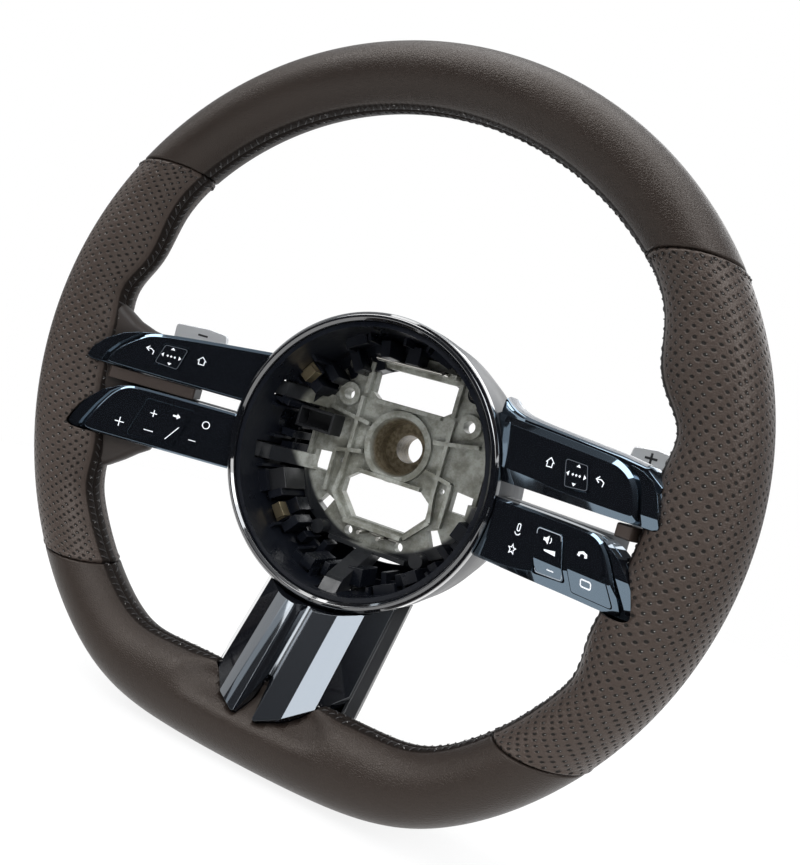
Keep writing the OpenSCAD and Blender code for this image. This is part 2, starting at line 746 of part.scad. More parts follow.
module paddle_pin(side) color(steel) upright()
    in_spoke(side)
        translate([pivot_u, base_low, pivot_depth])
            rotate([-90, 0, 0])
                cylinder(h = base_high - base_low, r = paddle_pin_r);
module paddle_pin_left() paddle_pin(-1);
module paddle_pin_right() paddle_pin(1);

// A paddle: knuckle on the pin, neck and plate with rounded corners
module paddle(side) color(silver) upright()
    in_spoke(side)
        translate([pivot_u, 0, pivot_depth])
            rotate([0, spoke_tilt - paddle_slope, 0])
                difference() {
                    union() {
                        translate([0, base_low + bracket_t + 0.3, 0])
                            rotate([-90, 0, 0])
                                cylinder(h = base_high - base_low - 2 * bracket_t - 0.6, r = 3.4);
                        translate([0, base_low + bracket_t + 0.3, -paddle_t / 2])
                            cube([12, base_high - base_low - 2 * bracket_t - 0.6, paddle_t]);
                        slab_round([[9, 1], [6 + paddle_w, 1], [9 + paddle_w, 1 + paddle_h],
                                    [12, 1 + paddle_h]], -paddle_t / 2, paddle_t / 2, 2.5);
                    }
                    rotate([-90, 0, 0])
                        cylinder(h = 60, r = paddle_pin_r + pin_gap);
                }
module paddle_left() paddle(-1);
module paddle_right() paddle(1);

// Extrudes its children, drawn across and forwards, along the bottom spoke
module along_foot(long)
    rotate([90, 0, 0])
        linear_extrude(long, center = true)
            children();

// The space of the bottom spoke's blades, drawn out by grow
module foot_blank(grow)
    translate([0, 0, foot_front])
        intersection() {
            along_foot(120)
                offset(delta = grow)
                    polygon(foot_section);
            slab(foot_outline, -60, 20, -grow);
        }
module foot_trim() color(gloss_black) upright()
    difference() {
        in_foot()
            difference() {
                foot_blank(0);
                translate([0, 0, foot_front])
                    along_foot(140)
                        polygon(foot_room);
            }
        hub_disc(hub_r + 0.4, 20, 120);
    }

// The bottom spoke's rear shell: a channel from the hub that tapers to the rim
module shell_blank(section, side, wide)
    translate([0, 0, foot_front])
        intersection() {
            along_foot(160)
                polygon(section);
            translate([-wide / 2, 0, 0])
                rotate([90, 0, 90])
                    linear_extrude(wide)
                        polygon(side);
        }
module foot_shell() color(matte_black) upright()
    difference() {
        in_foot()
            difference() {
                shell_blank(shell_section, shell_side, 100);
                shell_blank(shell_room, shell_side_room, 102);
            }
        hub_disc(hub_r + 0.4, 20, 120);
        arms(0.5);
    }

// Spring wires that catch the airbag's hooks
module wire(from, to)
    let (run = to - from)
        translate(from)
            rotate([0, acos(run.z / norm(run)), atan2(run.y, run.x)])
                cylinder(h = norm(run), r = wire_r, $fn = 24);
module airbag_wire_upper() color(steel) upright()
    let (level = plate_z + wire_rib_h + wire_r) {
        wire([-24, wire_top_y, level], [20, wire_top_y, level]);
        wire([19, wire_top_y, level], [19, wire_top_y, level + 6]);
    }
module airbag_wire_lower() color(steel) upright() {
    wire([-9, -49.6, plate_z + wire_r], [15, -49.6, plate_z + wire_r]);
    for (x = [-3, 9])
        wire([x, -49.6, plate_z + wire_r], [x, -49.6, plate_z + 15]);
}

// Folded contact clips on the housing's shelves
module clip(seat) color(steel) upright()
    on_wall(seat[0])
        translate([-9, -4, seat[1]]) {
            cube([8.7, 8, 1]);
            cube([1, 8, 7]);
            translate([0, 0, 6])
                cube([5, 8, 1]);
        }
module contact_clip_upper() clip(clip_seats[0]);
module contact_clip_lower() clip(clip_seats[1]);

// Plug of the airbag's harness, on the plate
module harness_connector() color(matte_black) upright()
    difference() {
        union() {
            translate([-58, -4, plate_z + rib_h])
                cube([23, 12, 13]);
            translate([-49, -3, plate_z])
                cube([12, 10, rib_h + 1]);
        }
        translate([-56.4, -2.4, plate_z + rib_h + 3])
            cube([19.8, 8.8, 20]);
    }
// Small sealed electronics box, on the housing's lip
module control_module() color(matte_black) upright()
    on_wall(204.5)
        translate([-14, -6, lip_z + lip_t])
            cube([13.6, 12, 22]);

// Screws that hold the black housing's ears to the plate
module armature_screws() color(steel) upright()
    for (s = [-1, 1])
        translate([s * ear_x, ear_y, plate_z - plate_t])
            difference() {
                union() {
                    cylinder(h = lip_z + lip_t - plate_z + plate_t + 0.1, r = ear_hole_r);
                    translate([0, 0, lip_z + lip_t - plate_z + plate_t])
                        cylinder(h = 2.6, r = 3.4);
                }
                translate([0, 0, lip_z + lip_t - plate_z + plate_t + 1])
                    cylinder(h = 4, r = 1.5, $fn = 6);
            }

armature();
rim_foam();
leather_top();
leather_left();
leather_right();
leather_bottom();
slot_infill_left();
slot_infill_right();
hub_ring();
hub_housing();
rear_cover();
upper_back_left();
upper_back_right();
lower_back_left();
lower_back_right();
upper_frame_left();
upper_frame_right();
lower_frame_left();
lower_frame_right();
upper_panel_left();
upper_panel_right();
lower_panel_left();
lower_panel_right();
touch_pad_left();
touch_pad_right();
volume_rocker();
call_key();
hang_up_key();
cruise_key();
switch_boards_left();
switch_boards_right();
paddle_left();
paddle_right();
paddle_base_left();
paddle_base_right();
paddle_pin_left();
paddle_pin_right();
foot_trim();
foot_shell();
airbag_wire_upper();
airbag_wire_lower();
contact_clip_upper();
contact_clip_lower();
harness_connector();
control_module();
armature_screws();
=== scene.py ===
"""Looks of the steering wheel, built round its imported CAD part."""

import math
import random
from functools import partial

import bmesh
import bpy
from mathutils import Matrix, Vector


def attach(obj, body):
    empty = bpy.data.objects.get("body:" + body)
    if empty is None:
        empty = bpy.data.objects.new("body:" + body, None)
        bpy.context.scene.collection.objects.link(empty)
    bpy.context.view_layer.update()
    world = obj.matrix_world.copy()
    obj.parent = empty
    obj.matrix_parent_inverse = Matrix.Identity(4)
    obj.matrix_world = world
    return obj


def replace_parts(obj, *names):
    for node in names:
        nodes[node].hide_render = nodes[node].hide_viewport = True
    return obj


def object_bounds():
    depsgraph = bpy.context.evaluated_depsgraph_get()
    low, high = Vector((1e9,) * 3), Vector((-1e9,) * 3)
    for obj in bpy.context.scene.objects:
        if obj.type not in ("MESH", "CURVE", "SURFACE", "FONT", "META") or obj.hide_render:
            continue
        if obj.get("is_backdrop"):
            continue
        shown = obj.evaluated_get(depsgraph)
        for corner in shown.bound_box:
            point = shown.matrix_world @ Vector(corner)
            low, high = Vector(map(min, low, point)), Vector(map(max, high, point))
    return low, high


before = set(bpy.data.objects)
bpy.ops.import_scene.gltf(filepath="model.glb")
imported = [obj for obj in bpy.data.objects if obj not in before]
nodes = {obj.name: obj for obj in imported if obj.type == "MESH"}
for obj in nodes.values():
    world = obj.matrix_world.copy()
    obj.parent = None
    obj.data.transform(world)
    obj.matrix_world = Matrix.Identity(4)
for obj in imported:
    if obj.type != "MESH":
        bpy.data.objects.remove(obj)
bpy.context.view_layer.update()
scene = bpy.context.scene
dice = random.Random(11)
MM = 0.001
HANDS = {-1: "left", 1: "right"}
sin, cos, radians = math.sin, math.cos, math.radians

# ---- sizes in millimetres, angles in degrees or radians, as the photograph shows them

SPOKE_TILT, SPOKE_X, SPOKE_Z = radians(26.7), 68, 69.5
FOOT_TILT, FOOT_Y, FOOT_Z = radians(31.8), -80, 75
PADDLE_TURN, PADDLE_U, PADDLE_W = radians(12.7), 5, -31.3
# The hub ring: its radius, and its middle below the wheel's
HUB_R, HUB_DROP = 75.9, 10.5
# The rim from its own middle to its side, top and flat bottom, and that middle above the wheel's
RIM_SIDE, RIM_TOP, RIM_FLAT, RIM_UP = 186, 179, 173, 10
# The grip's section: half its width and depth, the height of its middle, its mean radius and its girth
GRIP_W, GRIP_D, GRIP_MID, SECTION_R, GIRTH = 15.6, 18.6, 96.8, 17.6, 110.6
# Swellings of the grip toward the inside: height, middle and spread in degrees above the spokes, sharpness
SWELLINGS = ((9.5, 21.5, 9, 2), (10, -8, 18, 6), (8.6, -90, 27, 4))
# Depth and half width of the room that the bottom spoke presses into the grip
DENT_DEPTH, DENT_HALF = 16, 38
# The leather's cross seams above and below the spokes, and how far stations lean on its inner side
SEAM_UP, SEAM_LOW, SEAM_LEAN = 32.5, 36, 9.5
LEATHER_T, STITCH_PITCH = 1.3, 4.4
HOLES_ACROSS, HOLES_ALONG = 2.35, 4.0
# Height of the bottom spoke's ridges above its frame
FOOT_FRONT = 3.6
# Where the fronts of two keys fold down, and how steeply
ROCKER_FOLD, HANG_UP_FOLD, FOLD_SLOPE = -25.9, -24.6, 0.36
# Width of most strokes of the marks, and height of those that lie on a blade
STROKE, THIN = 0.42, 0.05

# ---- frames of the wheel, its spokes and its paddles: millimetres in, row frame in metres out


def row(x, y, z):
    return Vector((x * MM, -z * MM, y * MM))


def spoke(side, u, v, w):
    """A side spoke's frame: u out along it, v up, w out of its face."""
    x = SPOKE_X + u * cos(SPOKE_TILT) - w * sin(SPOKE_TILT)
    z = SPOKE_Z + u * sin(SPOKE_TILT) + w * cos(SPOKE_TILT)
    return row(side * x, v, z)


def foot(x, q, w):
    """The bottom spoke's frame: x across, q down along it, w out of its face."""
    y = FOOT_Y - q * cos(FOOT_TILT) + w * sin(FOOT_TILT)
    z = FOOT_Z + q * sin(FOOT_TILT) + w * cos(FOOT_TILT)
    return row(x, y, z)


def paddle_plate(side, a, v, c):
    """A paddle's frame: a out along it, v up, c out of its face."""
    u = PADDLE_U + a * cos(PADDLE_TURN) + c * sin(PADDLE_TURN)
    w = PADDLE_W - a * sin(PADDLE_TURN) + c * cos(PADDLE_TURN)
    return spoke(side, u, v, w)


# ---- materials


class Nodes:
    """A shader node tree with small helpers."""

    def __init__(self, tree):
        self.tree = tree

    def add(self, kind, links=(), **values):
        """A new node with its own settings, and its sockets linked or set."""
        node = self.tree.nodes.new(kind)
        for key, value in values.items():
            setattr(node, key, value)
        for socket, source in dict(links).items():
            if isinstance(source, bpy.types.NodeSocket):
                self.tree.links.new(source, node.inputs[socket])
            else:
                node.inputs[socket].default_value = source
        return node

    def math(self, operation, a, b=0.0):
        return self.add("ShaderNodeMath", {0: a, 1: b}, operation=operation).outputs[0]

    def plus(self, a, b):
        return self.math("ADD", a, b)

    def minus(self, a, b):
        return self.math("SUBTRACT", a, b)

    def times(self, a, b):
        return self.math("MULTIPLY", a, b)

    def length(self, a, b):
        return self.math("SQRT", self.plus(self.times(a, a), self.times(b, b)))

    def split(self, vector):
        return self.add("ShaderNodeSeparateXYZ", {"Vector": vector}).outputs

    def ramp(self, value, low, high, start=0.0, end=1.0):
        """A soft step from start to end while the value runs from low to high."""
        return self.add("ShaderNodeMapRange",
                        {"Value": value, "From Min": low, "From Max": high, "To Min": start, "To Max": end},
                        interpolation_type="SMOOTHSTEP").outputs["Result"]

    def mix(self, factor, a, b):
        colours = {spot: c if isinstance(c, bpy.types.NodeSocket) else (*c, 1) for spot, c in ((6, a), (7, b))}
        return self.add("ShaderNodeMix", {"Factor": factor, **colours}, data_type="RGBA").outputs[2]

    def mix_shaders(self, factor, a, b):
        return self.add("ShaderNodeMixShader", {0: factor, 1: a, 2: b}).outputs[0]

    def place(self, kind="Object"):
        return self.add("ShaderNodeTexCoord").outputs[kind]

    def noise(self, scale, detail, rough=0.6, place=None):
        return self.add("ShaderNodeTexNoise",
                        {"Vector": place or self.place(), "Scale": scale, "Detail": detail, "Roughness": rough}
                        ).outputs["Fac"]


class Paint(Nodes):
    """A principled material."""

    def __init__(self, name, colour, rough, metal=0.0, specular=0.5, coat=0.0, tint=(1, 1, 1)):
        self.material = bpy.data.materials.new(name)
        self.material.use_nodes = True
        super().__init__(self.material.node_tree)
        self.shader = self.tree.nodes["Principled BSDF"]
        sockets = {"Base Color": (*colour, 1), "Roughness": rough, "Metallic": metal, "Specular IOR Level": specular,
                   "Specular Tint": (*tint, 1), "Coat Weight": coat, "Coat Roughness": 0.03}
        for socket, value in sockets.items():
            self.shader.inputs[socket].default_value = value

    def set(self, socket, source):
        self.tree.links.new(source, self.shader.inputs[socket])

    def bump(self, height, distance, strength, below=None):
        links = {"Height": height, "Distance": distance, "Strength": strength}
        if below is not None:
            links["Normal"] = below
        normal = self.add("ShaderNodeBump", links).outputs["Normal"]
        self.set("Normal", normal)
        return normal


def leather_paint(name, holes):
    """Grained leather, darker beside its inner seam, with rows of punched holes where asked; the holes get painted
    shade, and some a painted glint.
    """
    p = Paint(name, (0.021, 0.0165, 0.0145), 0.42, specular=0.42, tint=(1.0, 0.92, 0.85))
    across, along, _ = p.split(p.add("ShaderNodeUVMap").outputs["UV"])
    off = p.minus(GIRTH / 2, p.math("ABSOLUTE", p.minus(across, GIRTH / 2)))
    band = p.ramp(off, 4.4, 5.8, 1.0, 0.0)
    tone = p.noise(18.0, 4.0)
    if holes:
        base = p.mix(tone, (0.027, 0.0192, 0.0156), (0.042, 0.0305, 0.0255))
    else:
        base = p.mix(tone, (0.0138, 0.0097, 0.0078), (0.0215, 0.0155, 0.0127))
    base = p.mix(band, base, (0.0085, 0.0066, 0.0058))
    cells = p.add("ShaderNodeTexVoronoi", {"Vector": p.place(), "Scale": 900.0}, feature="DISTANCE_TO_EDGE")
    grain = p.plus(p.ramp(cells.outputs["Distance"], 0.0, 0.22), p.times(p.noise(420.0, 3.0), 1.1))
    below = p.bump(grain, 0.00009, 0.75)
    if holes:
        # Every second column is set off by half a pitch, and each hole lies a little off its place
        column = p.math("DIVIDE", across, HOLES_ACROSS)
        i = p.math("FLOOR", column)
        line = p.plus(p.math("DIVIDE", along, HOLES_ALONG), p.times(p.math("MODULO", i, 2.0), 0.5))
        j = p.math("FLOOR", line)
        cell = p.add("ShaderNodeCombineXYZ", {0: i, 1: j, 2: 0.0}).outputs[0]
        chance = p.split(p.add("ShaderNodeTexWhiteNoise", {"Vector": cell}, noise_dimensions="3D").outputs["Color"])
        du = p.times(p.minus(p.math("FRACT", column), 0.5), HOLES_ACROSS)
        dv = p.times(p.minus(p.math("FRACT", line), 0.5), HOLES_ALONG)
        du = p.plus(du, p.times(p.minus(chance[0], 0.5), 0.28))
        dv = p.plus(dv, p.times(p.minus(chance[1], 0.5), 0.4))
        away = p.length(du, dv)
        zone = p.ramp(off, 7.8, 8.2)
        hole = p.times(p.ramp(away, 0.50, 0.76, 1.0, 0.0), zone)
        hollow = p.times(p.ramp(away, 0.4, 1.15, 1.0, 0.0), zone)
        # Painted highlight: a pale glint at one edge of every other hole, mixed into the colour below.
        spark = p.ramp(p.length(p.plus(du, 0.34), p.minus(dv, 0.22)), 0.12, 0.26, 1.0, 0.0)
        glint = p.times(p.times(spark, p.math("GREATER_THAN", chance[2], 0.5)), zone)
        # Painted shade: the holes are painted near black.
        base = p.mix(hole, base, (0.0022, 0.0020, 0.0020))
        base = p.mix(p.times(glint, 0.34), base, (0.62, 0.60, 0.58))
        p.bump(p.times(p.plus(hole, p.times(hollow, 0.6)), -1.0), 0.0006, 1.0, below)
        p.set("Roughness", p.plus(p.times(hole, 0.4), p.ramp(tone, 0.3, 0.7, 0.38, 0.46)))
    else:
        p.set("Roughness", p.ramp(tone, 0.3, 0.7, 0.39, 0.47))
    p.set("Base Color", base)
    p.set("Specular IOR Level", p.ramp(band, 0.0, 1.0, 0.36 if holes else 0.28, 0.06))
    return p


def plain_paint(name, colour, rough, grain=900.0, depth=0.00002, spread=0.06, drift=0.12, **options):
    """A moulded or metal surface: fine grain, roughness that drifts, and a slight change of tone."""
    p = Paint(name, colour, rough, **options)
    tone = p.noise(35.0, 4.0)
    light = tuple(min(1.0, c * (1 + drift)) for c in colour)
    dark = tuple(c * (1 - drift) for c in colour)
    p.set("Base Color", p.mix(tone, dark, light))
    p.set("Roughness", p.ramp(tone, 0.3, 0.7, max(0.02, rough - spread), rough + spread))
    p.bump(p.noise(grain, 2.0), depth, 0.6)
    return p


def gloss_paint(name, tint):
    """Polished black plastic, whose reflections are tinted."""
    return plain_paint(name, BLACK, 0.05, specular=1.0, coat=0.3, tint=tint, grain=120.0, depth=0.000002,
                       spread=0.008)


def cast_paint():
    """Stained cast metal, rusty inside the bore, with painted shade that makes it near black beyond the plate."""
    p = Paint("cast", (0.3, 0.3, 0.27), 0.42, metal=0.25)
    place = p.place()
    big = p.noise(55.0, 6.0, 0.7, place)
    small = p.noise(420.0, 4.0, 0.6, place)
    colour = p.mix(p.ramp(big, 0.36, 0.64), (0.155, 0.155, 0.128), (0.39, 0.40, 0.365))
    colour = p.mix(p.ramp(small, 0.42, 0.75, 0.0, 0.45), colour, (0.17, 0.16, 0.12))
    x, _, z = p.split(place)
    middle = p.length(x, z)
    rust = p.ramp(middle, 0.0150, 0.0166, 1.0, 0.0)
    colour = p.mix(rust, colour, p.mix(p.ramp(small, 0.35, 0.65), (0.085, 0.065, 0.035), (0.19, 0.155, 0.10)))
    # Painted shade: beyond the plate the arms are painted near black and made non-metallic.
    arms = p.ramp(middle, 0.0560, 0.0590)
    p.set("Base Color", p.mix(arms, colour, (0.008, 0.009, 0.011)))
    p.set("Metallic", p.ramp(arms, 0.0, 1.0, 0.25, 0.0))
    p.set("Roughness", p.ramp(big, 0.35, 0.65, 0.34, 0.56))
    p.bump(p.plus(small, p.times(big, 0.6)), 0.0002, 0.6)
    return p


def ring_paint():
    """Gloss black in front, dull and dark on the flank behind it."""
    p = Paint("ring_black", BLACK, 0.05, specular=1.0, coat=1.0)
    flank = p.ramp(p.split(p.place())[1], -0.0706, -0.0704)
    p.set("Base Color", p.mix(flank, BLACK, (0.022, 0.024, 0.028)))
    p.set("Roughness", p.ramp(flank, 0.0, 1.0, 0.05, 0.40))
    p.set("Specular IOR Level", p.ramp(flank, 0.0, 1.0, 1.0, 0.25))
    p.set("Coat Weight", p.ramp(flank, 0.0, 1.0, 1.0, 0.0))
    p.bump(p.noise(1500.0, 2.0), 0.000008, 0.6)
    return p


BLACK = (0.004, 0.0045, 0.006)
leather_holes = leather_paint("leather_perforated", True)
leather_plain = leather_paint("leather_smooth", False)
leather_block = plain_paint("leather_block", (0.034, 0.0245, 0.0200), 0.42, specular=0.35, grain=700.0, depth=0.0001)
# A darker copy of the leather: painted shade for the leather behind the blade ends.
leather_painted_shade = plain_paint("leather_painted_shade", (0.020, 0.0145, 0.0118), 0.5, specular=0.3, grain=700.0, depth=0.0001)
thread = plain_paint("thread", (0.013, 0.011, 0.011), 0.42, specular=0.45, grain=2600.0, depth=0.0002)
# Pale thread for painted glints on the inner stitches.
thread_glint = plain_paint("thread_glint", (0.30, 0.29, 0.28), 0.5, grain=2600.0, depth=0.0002)
gloss = gloss_paint("gloss_black", (0.55, 0.78, 1.0))
gloss.shader.inputs["IOR"].default_value = 1.8
foot_gloss = gloss_paint("foot_black", (0.84, 0.92, 1.0))
matte = plain_paint("matte_black", (0.009, 0.0095, 0.011), 0.42, grain=1500.0, depth=0.00006)
housing = plain_paint("housing_black", (0.0045, 0.0055, 0.0085), 0.36, specular=0.2, grain=260.0, depth=0.00025,
                      spread=0.14, drift=0.5)
ring_black = ring_paint()
satin = plain_paint("satin_grey", (0.17, 0.175, 0.185), 0.34, grain=1800.0, depth=0.00003)
pale_satin = plain_paint("pale_satin", (0.20, 0.207, 0.22), 0.34, grain=1800.0, depth=0.00003)
silver = plain_paint("silver", (0.64, 0.65, 0.66), 0.36, metal=0.35, grain=2400.0, depth=0.00002)
steel = plain_paint("steel", (0.42, 0.41, 0.38), 0.28, metal=1.0)
brass = plain_paint("clip_metal", (0.46, 0.38, 0.24), 0.30, metal=1.0)
cast = cast_paint()
board = plain_paint("board", (0.01, 0.06, 0.03), 0.4, grain=600.0)
# The grey and pale edge colours are painted highlights, for thin lines round the pads and the volume rocker.
icon_white, grey_edge_highlight, pale_edge_highlight, mark_dark = (plain_paint(*look, grain=2000.0) for look in (
    ("icon_white", (0.80, 0.82, 0.86), 0.5), ("grey_edge_highlight", (0.07, 0.08, 0.095), 0.4),
    ("pale_edge_highlight", (0.30, 0.33, 0.37), 0.4), ("mark_dark", (0.02, 0.02, 0.022), 0.5)))

# ---- meshes


def piece(name, points, faces, paint, body="wheel", slot=None, bevel=0.0, angle=30, uvs=None, smooth=True):
    """A mesh from points in metres, smooth up to an angle, with its edges rounded where bevel is given."""
    mesh = bpy.data.meshes.new(name)
    mesh.from_pydata([tuple(p) for p in points], [], faces)
    mesh.materials.append(paint.material)
    if uvs is not None:
        layer = mesh.uv_layers.new(name="UVMap")
        layer.data.foreach_set("uv", [c for pair in uvs for c in pair])
    outwards(mesh)
    mesh.update()
    thing = bpy.data.objects.new(name, mesh)
    scene.collection.objects.link(thing)
    if smooth:
        mesh.polygons.foreach_set("use_smooth", [True] * len(mesh.polygons))
        if not bevel:
            mesh.set_sharp_from_angle(angle=radians(angle))
    if bevel:
        round_edges(thing, bevel, angle)
    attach(thing, body)
    return thing


def outwards(mesh):
    """Turns all faces of a mesh to the outside."""
    work = bmesh.new()
    work.from_mesh(mesh)
    bmesh.ops.recalc_face_normals(work, faces=work.faces)
    work.to_mesh(mesh)
    work.free()


def round_edges(thing, width, angle=30):
    cut = thing.modifiers.new("round", "BEVEL")
    cut.width = width * MM
    cut.segments = 2
    cut.limit_method = "ANGLE"
    cut.angle_limit = radians(angle)
    cut.harden_normals = True
    cut.use_clamp_overlap = True


def dress(name, paint, bevel):
    """A CAD node that is shown as it is, with its edges rounded and its own finish."""
    thing = nodes[name]
    thing.data.materials.clear()
    thing.data.materials.append(paint.material)
    with bpy.context.temp_override(object=thing, active_object=thing):
        bpy.ops.mesh.customdata_custom_splitnormals_clear()
    thing.data.polygons.foreach_set("use_smooth", [True] * len(thing.data.polygons))
    weld = thing.modifiers.new("weld", "WELD")
    weld.merge_threshold = 0.000005
    round_edges(thing, bevel)


def lofted(rings, ends=True):
    """Points and faces through rings of equal length, with the first and last one closed where asked."""
    count = len(rings[0])
    faces = []
    for k in range(len(rings) - 1):
        for i in range(count):
            a, b = k * count + i, k * count + (i + 1) % count
            faces.append((a, b, b + count, a + count))
    if ends:
        faces.append(tuple(reversed(range(count))))
        faces.append(tuple(range((len(rings) - 1) * count, len(rings) * count)))
    return [p for ring in rings for p in ring], faces


def merged(parts):
    """Points and faces of several parts as one."""
    points, faces = [], []
    for part_points, part_faces in parts:
        faces += [tuple(i + len(points) for i in face) for face in part_faces]
        points += part_points
    return points, faces


def cutter(rings):
    """A solid that is only there to cut another."""
    return piece("cutter", *lofted(rings), leather_plain)


def carve(thing, cutters, keep=()):
    """Cuts solids out of a piece for good, keeps only what lies in others, and removes both."""
    edges = [m for m in thing.modifiers if m.type == "BEVEL"]
    for m in edges:
        m.show_viewport = False
    steps = [(solid, "DIFFERENCE") for solid in reversed(cutters)] + [(solid, "INTERSECT") for solid in keep]
    for solid, operation in steps:
        cut = thing.modifiers.new("cut", "BOOLEAN")
        cut.object = solid
        cut.operation = operation
        cut.solver = "MANIFOLD"
    bpy.context.view_layer.update()
    made = bpy.data.meshes.new_from_object(thing.evaluated_get(bpy.context.evaluated_depsgraph_get()))
    for m in list(thing.modifiers):
        if m not in edges:
            thing.modifiers.remove(m)
    for m in edges:
        m.show_viewport = True
    thing.data = made
    for solid, _ in steps:
        bpy.data.objects.remove(solid)


# ---- leather: the CAD part's grip a little slimmer and deeper, with rolled seams and a stitched inner band


def bell(x, spread, power=2):
    """1 where x is 0, falling off to both sides."""
    return math.exp(-((x / spread) ** power))


def rim_radius(a):
    s, c = sin(radians(a)), cos(radians(a))
    if s >= 0:
        return 1 / math.sqrt((c / RIM_SIDE) ** 2 + (s / RIM_TOP) ** 2)
    return (RIM_SIDE ** -24 + (RIM_FLAT / max(-s, 0.001)) ** -24) ** (-1 / 24)


def rim_point(a):
    r = rim_radius(a)
    return Vector((r * cos(radians(a)), r * sin(radians(a)) + RIM_UP))


def rim_normal(a):
    t = (rim_point(a + 0.5) - rim_point(a - 0.5)).normalized()
    return Vector((t.y, -t.x))


def rise(a):
    """Degrees above the spokes, the same on both sides."""
    a = a % 360
    if 90 < a < 270:
        return 180 - a
    return a - 360 if a >= 270 else a


def reach(a):
    """How far the grip swells toward the inside at station a."""
    return sum(high * bell(rise(a) - middle, spread, power) for high, middle, spread, power in SWELLINGS)


def dent(a, ct, st):
    """How deep the grip's front is pressed in where the bottom spoke lands."""
    if sin(radians(a)) >= 0 or st <= 0:
        return 0
    f = min(1, max(0, (-ct - 0.3) / 0.45))
    return DENT_DEPTH * f * f * (3 - 2 * f) * bell(rim_point(a).x, DENT_HALF, 6)


def grip(a, t, lift=0.0):
    """A point on the grip at station a and section angle t, lifted off its skin."""
    n = rim_normal(a)
    c = rim_point(a) - n * GRIP_W
    ct, st = cos(radians(t)), sin(radians(t))
    out = ct * (GRIP_W + lift) + (ct * reach(a) if ct < 0 else 0)
    p = c + n * out
    return row(p.x, p.y, GRIP_MID + st * (GRIP_D + lift - dent(a, ct, st)))


def laid(a, t, lift=0.0):
    """A point of the grip for leather cut on the slant: the inner side's stations lean toward top and bottom."""
    return grip(a + SEAM_LEAN * sin(radians(2 * a)) * (1 - cos(radians(t))) / 2, t, lift)


# Lengths along the middle of the grip, for that many stations in a degree
FINE = 10
ALONG = [0.0]
for step in range(360 * FINE):
    p0, p1 = (rim_point(a) - rim_normal(a) * GRIP_W for a in (step / FINE, (step + 1) / FINE))
    ALONG.append(ALONG[-1] + (p1 - p0).length)


def along(a):
    """Millimetres along the middle of the grip up to station a."""
    turns, part = divmod(a, 360)
    k = min(int(part * FINE), 360 * FINE - 1)
    return turns * ALONG[-1] + ALONG[k] + (ALONG[k + 1] - ALONG[k]) * (part * FINE - k)


def crossing(before, low, high):
    """Where between low and high a test stops holding."""
    for _ in range(40):
        middle = (low + high) / 2
        if before(middle):
            low = middle
        else:
            high = middle
    return high


def station(distance, low, high):
    """The station at a distance along the grip."""
    return crossing(lambda a: along(a) < distance, low, high)


def mm_from_inner(t):
    """Millimetres round the section from the inner seam, for a section angle t from 180 to 540."""
    return radians(t - 180) * SECTION_R


# Section angles, close together near the inner seam and there again at its other side
SECTION = [180, 180.9, 181.8, 183, *range(185, 207, 3), 212, 218, *range(226, 355, 8)]
SECTION += [360] + [720 - t for t in reversed(SECTION)]
# Distances of the first stations from a piece's end, and the pitch of the rest
END_STEPS, STEP = [0, 0.25, 0.5, 0.8, 1.1, 1.5, 2.0, 2.6, 3.3], 1.05


def leather(name, start, end, paint, raised, *replaced):
    """A piece of leather between two stations: its ends turn down, and its inner edges meet in a seam."""
    first, last = along(start), along(end)
    count = int((last - first) / STEP)
    inset = END_STEPS[-1]
    spots = [first + e for e in END_STEPS]
    spots += [first + inset + (last - first - 2 * inset) * k / count for k in range(1, count)]
    spots += [last - e for e in reversed(END_STEPS)]
    wide = len(SECTION) - 1
    points, marks = [], []
    for s in spots:
        a = station(s, start - 1, end + 1)
        edge = min(s - first, last - s)
        lip = -1.5 * bell(edge, 0.55, 1.6) + raised * bell(edge - 1.7, 0.9)
        for i, t in enumerate(SECTION):
            m = min(mm_from_inner(t), GIRTH - mm_from_inner(t))
            seam = -0.75 * bell(m, 0.7)
            band = -0.2 * bell(m - 5.2, 0.5) + 0.16 * bell(m, 4.2, 4)
            wave = cos(2 * math.pi * s / STITCH_PITCH + (0.6 if t < 360 else 2.1))
            if i < wide:
                points.append(laid(a, t, lip + seam + band + 0.13 * wave * bell(m - 3.4, 1.9)))
            marks.append((mm_from_inner(t), s))
    faces, uvs = [], []
    for k in range(len(spots) - 1):
        for i in range(wide):
            p, q, m = k * wide + i, k * wide + (i + 1) % wide, k * (wide + 1) + i
            faces.append((p, p + wide, q + wide, q))
            uvs += [marks[m], marks[m + wide + 1], marks[m + wide + 2], marks[m + 1]]
    thing = piece(name, points, faces, paint, slot="leather", angle=50, uvs=uvs)
    cutters = leather_cutters(name)
    if cutters:
        skin = thing.modifiers.new("skin", "SOLIDIFY")
        skin.thickness = LEATHER_T * MM
        skin.offset = -1
        carve(thing, cutters)
    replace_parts(thing, *replaced)


def leather_cutters(name):
    """The room for the blades or the bottom spoke in one piece of leather."""
    if name == "rim_leather_top":
        return []
    if name == "rim_leather_bottom":
        outline = grown(FOOT_OUTLINE, 0.3)
        return [cutter([[foot(x, q, FOOT_FRONT + w) for x, q in outline] for w in (-26, 16)])]
    side = -1 if name == "rim_leather_left" else 1
    return [cutter(slab(side, grown([(u, v) for u, v, w in smooth_ring(level(outline, 0))], 0.35), -26, 9))
            for outline in (UPPER, LOWER)]


